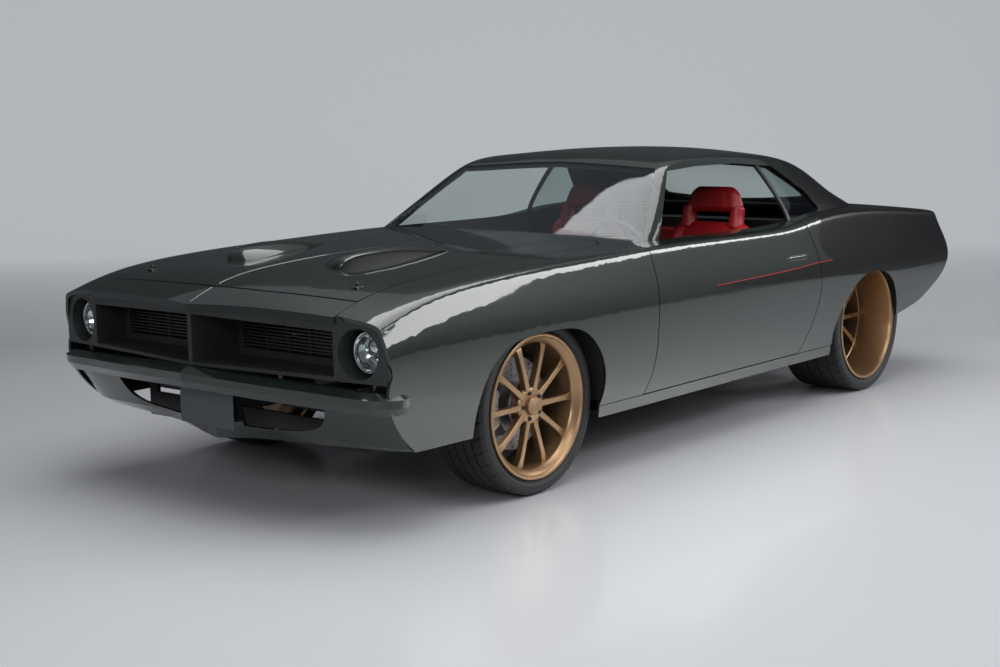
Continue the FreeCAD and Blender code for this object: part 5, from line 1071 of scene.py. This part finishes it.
COLUMN = [(0.622, 0.880, 0.044, 0.070, 0.0), (0.640, 0.940, 0.034, 0.062, 0.0),
          (0.652, 0.995, 0.034, 0.060, 0.0)]
REAR_CUSHION = [(0.655, 0.420, 0.245, 0.10, 0.010), (0.670, 0.465, 0.250, 0.12, 0.012),
                (0.850, 0.470, 0.250, 0.14, 0.014), (1.010, 0.440, 0.245, 0.12, 0.010)]
REAR_BACK = [(1.020, 0.420, 0.240, 0.08, 0.010), (1.060, 0.560, 0.250, 0.10, 0.014),
             (1.120, 0.760, 0.245, 0.09, 0.012), (1.145, 0.840, 0.235, 0.07, 0.004)]
FRONT_PARTS = [(FRONT_CUSHION, 60, 0.0, 57, 0.06, (0.30, 0.92)),
               (FRONT_BACK, 64, 0.0, 57, 0.05, (0.08, 0.62)),
               (FRONT_HEAD, 26, 0.0, 33, 0.03, NO_QUILT), (COLUMN, 14, 0.138, 13, 0.01, NO_QUILT),
               (COLUMN, 14, -0.138, 13, 0.01, NO_QUILT)]
REAR_PARTS = [(REAR_CUSHION, 40, 0.0, 41, 0.05, (0.15, 0.95)), (REAR_BACK, 44, 0.0, 41, 0.045, (0.05, 0.85))]
for name, node, seat_x, fill, pads in (("front_seat_", "front_seats", 0.385, 0.6, FRONT_PARTS),
                                       ("rear_seat_", "rear_seat", 0.252, 0.7, REAR_PARTS)):
    for side, sign in SIDES:
        parts = [upholstered(path, rows, sign * seat_x + aside, columns, edge, quilt)
                 for path, rows, aside, columns, edge, quilt in pads]
        seat = add(name + side, parts, "body", LEATHER, 60, node)
print("four seats upholstered")

# %% [markdown]
# ## Small parts
# The steering wheel is a rim on three spokes, leaned back with its column. Flush door handles lie in a dark
# outline, with a lock ahead of them. Two screws hold the blank plate.

# %% Steering wheel
WHEEL_CENTRE, WHEEL_TILT = Vector((0.370, -0.110, 0.812)), math.radians(24)
RIM_RADIUS, RIM_HALF = 0.163, 0.0140
ARM_STATIONS = ((0.030, 0.020, -0.006), (0.080, 0.014, -0.008), (0.130, 0.013, -0.004), (0.160, 0.017, 0.0))
BOSS = [(-0.075, 0.0), (-0.075, 0.030), (-0.022, 0.034), (-0.012, 0.040), (0.004, 0.040), (0.010, 0.034),
        (0.012, 0.020), (0.012, 0.0)]


def leaned(bm):
    """A mesh made about the x axis, laid about the steering column instead."""
    column = Vector((0, math.cos(WHEEL_TILT), math.sin(WHEEL_TILT)))
    up = Vector((0, -math.sin(WHEEL_TILT), math.cos(WHEEL_TILT)))
    for vert in bm.verts:
        vert.co = WHEEL_CENTRE + column * vert.co.x + Vector((1, 0, 0)) * vert.co.y + up * vert.co.z
    return bm


def arm(turn):
    sections = []
    for out, half, x in ARM_STATIONS:
        section = [(-half, 0.0), (-half * 0.8, 0.003), (half * 0.8, 0.003), (half, 0.0), (half * 0.8, -0.003),
                   (-half * 0.8, -0.003)]
        sections.append([Vector((x + lift, out * math.cos(turn) - aside * math.sin(turn),
                                 out * math.sin(turn) + aside * math.cos(turn))) for aside, lift in section])
    return leaned(lofted(sections))


round_rim = [(RIM_HALF * math.sin(turn), RIM_RADIUS + RIM_HALF * math.cos(turn))
             for turn in np.arange(14) * math.pi / 7]
grips = [leaned(swept(round_rim, 120, (0, 0, 0))), leaned(swept(BOSS, 48, (0, 0, 0), closed=False))]
add("steering_wheel_rim", grips, "steering_wheel", CABIN,
    stands_for="steering_wheel")
arms = [arm(math.radians(turn)) for turn in (0, 180, 270)]
add("steering_wheel_spokes", arms, "steering_wheel", DARK_STEEL)
print("steering wheel", 2 * (RIM_RADIUS + RIM_HALF), "m across")

# %% Door handles and plate screws
HANDLE_SINK, BAR_STEPS, BESIDE = 0.004, 40, 0.94


def door_bar(faces, sign, y0, y1, z0, z1, lift):
    """A bar with rounded ends that lies on a door, between two places along it and two heights."""
    rings = []
    for less, rise in ((0.0, -HANDLE_SINK), (0.0, lift * 0.5), (0.0015, lift), (0.006, lift * 1.15)):
        ring = []
        for one, two in rounded((y1 - y0) / 2 - less, (z1 - z0) / 2 - less, BAR_STEPS, 0.30, 0.55):
            y, z = (y0 + y1) / 2 + one, (z0 + z1) / 2 + two
            hit = faces.ray_cast(Vector((sign * 2.0, y, z)), Vector((-sign, 0, 0)))[0]
            ring.append(Vector(((hit.x if hit else sign * BESIDE) + sign * rise, y, z)))
        rings.append(ring)
    return lofted(rings)


for side, sign in SIDES:
    door = "door_" + side
    faces = tree_of(door)
    for name, limits, finish, slot, crisp in (
            ("handle_outline_", (0.4555, 0.6315, 0.7495, 0.7785, 0.0006), SEAL, slot_of["window_trim"], 40),
            ("handle_", (0.461, 0.626, 0.7535, 0.7745, 0.0032), PAINT, slot_of[door], 50),
            ("lock_", (0.436, 0.448, 0.758, 0.770, 0.0015), DARK_STEEL, slot_of["window_trim"], 40)):
        add(name + side, [door_bar(faces, sign, *limits)], body_of(door), finish, crisp)

SCREW = [(-0.0035, 0.0), (-0.003, 0.004), (-0.001, 0.0065), (0.001, 0.0068)]
screws = [swept(SCREW, 20, (x, -2.2547, 0.452), closed=False, axis="y") for x in (0.118, -0.118)]
add("plate_screws", screws, "body", BRIGHT)
print("handles, locks and screws")

# %% [markdown]
# ## The studio
# A pale floor that sweeps up into a wall, a large soft light overhead, one wide light that the upper fender
# mirrors, and two weaker ones. The car is nearly a mirror, so the lamps are shaped as what it should show.

# %% Floor and wall
FLOOR_FRONT, FLOOR_BACK, WALL_ROUND, WALL_TOP, SWEEP_SIDE = -16.0, 9.0, 3.0, 9.0, 22.0
PALE_FROM, PALE_OVER, PALE_LIGHT = 2.5, 6.5, 0.44


def stage_sweep():
    """A floor that curves up into a wall behind the car; the camera alone sees the wall's pale glow."""
    profile = [(FLOOR_FRONT, 0.0), (FLOOR_BACK, 0.0)]
    profile += [(FLOOR_BACK + WALL_ROUND * math.sin(a), WALL_ROUND - WALL_ROUND * math.cos(a))
                for a in np.linspace(0.1, math.pi / 2, 14)]
    profile.append((FLOOR_BACK + WALL_ROUND, WALL_TOP))
    back, side = Vector((-math.sin(YAW), math.cos(YAW), 0)), Vector((math.cos(YAW), math.sin(YAW), 0))
    bm = bmesh.new()
    rows = [[bm.verts.new(back * run + side * s + Vector((0, 0, z))) for s in (-SWEEP_SIDE, SWEEP_SIDE)]
            for run, z in profile]
    for low, high in zip(rows, rows[1:]):
        bm.faces.new((low[0], low[1], high[1], high[0]))
    mesh = bpy.data.meshes.new("studio_sweep")
    bm.to_mesh(mesh)
    bm.free()
    for face in mesh.polygons:
        face.use_smooth = True
    sweep = bpy.data.objects.new("studio_sweep", mesh)
    bpy.context.scene.collection.objects.link(sweep)
    floor = Finish("studio_floor", Specular_IOR_Level=0.5, Coat_Roughness=0.04, Emission_Strength=1.0)
    place = floor.place()
    behind = floor.split(place, 0) * back.x + floor.split(place, 1) * back.y
    wall = floor.ramp((behind - PALE_FROM) / PALE_OVER, [(0.0, (0, 0, 0)), (1.0, (1, 1, 1))])
    seen = floor.node("ShaderNodeLightPath", {}, {}, output=0)
    glow = [value * PALE_LIGHT for value in (0.93, 0.96, 1.0)]
    floor.set(Base_Color=floor.mix(wall, (0.52, 0.53, 0.555), (0.12, 0.125, 0.135)),
              Emission_Color=floor.mix(wall * seen, (0, 0, 0), glow),
              Roughness=0.24 + wall * 0.6, Coat_Weight=0.12 - wall * 0.12)
    mesh.materials.append(floor.material)


stage_sweep()

# %% Lamps and air
def soft_lamp(name, place, aim, size, power):
    lamp = bpy.data.lights.new(name, "AREA")
    lamp.shape = "RECTANGLE"
    lamp.size, lamp.size_y = size
    lamp.energy = power
    holder = bpy.data.objects.new(name, lamp)
    holder.visible_camera = False
    holder.location = place
    holder.rotation_euler = (Vector(aim) - Vector(place)).to_track_quat("-Z", "Y").to_euler()
    bpy.context.scene.collection.objects.link(holder)


soft_lamp("overhead", (0.5, -0.5, 4.6), (0, 0, 0.5), (5.0, 6.5), 300)
soft_lamp("shoulder_light", (6.3, 5.5, 4.0), (0.9, -1.5, 0.8), (6.0, 3.2), 430)
soft_lamp("side_strip", (7.0, -1.0, 4.6), (0.6, -0.6, 0.4), (7.0, 1.2), 110)
soft_lamp("front_fill", (3.0, -8.0, 3.5), (0, -1.0, 0.5), (4.0, 2.0), 160)
world = bpy.data.worlds.new("studio_air")
world.use_nodes = True
air = world.node_tree.nodes["Background"]
air.inputs[0].default_value = (0.72, 0.76, 0.84, 1.0)
air.inputs[1].default_value = 0.24
bpy.context.scene.world = world
bpy.context.scene.view_settings.view_transform = "Standard"
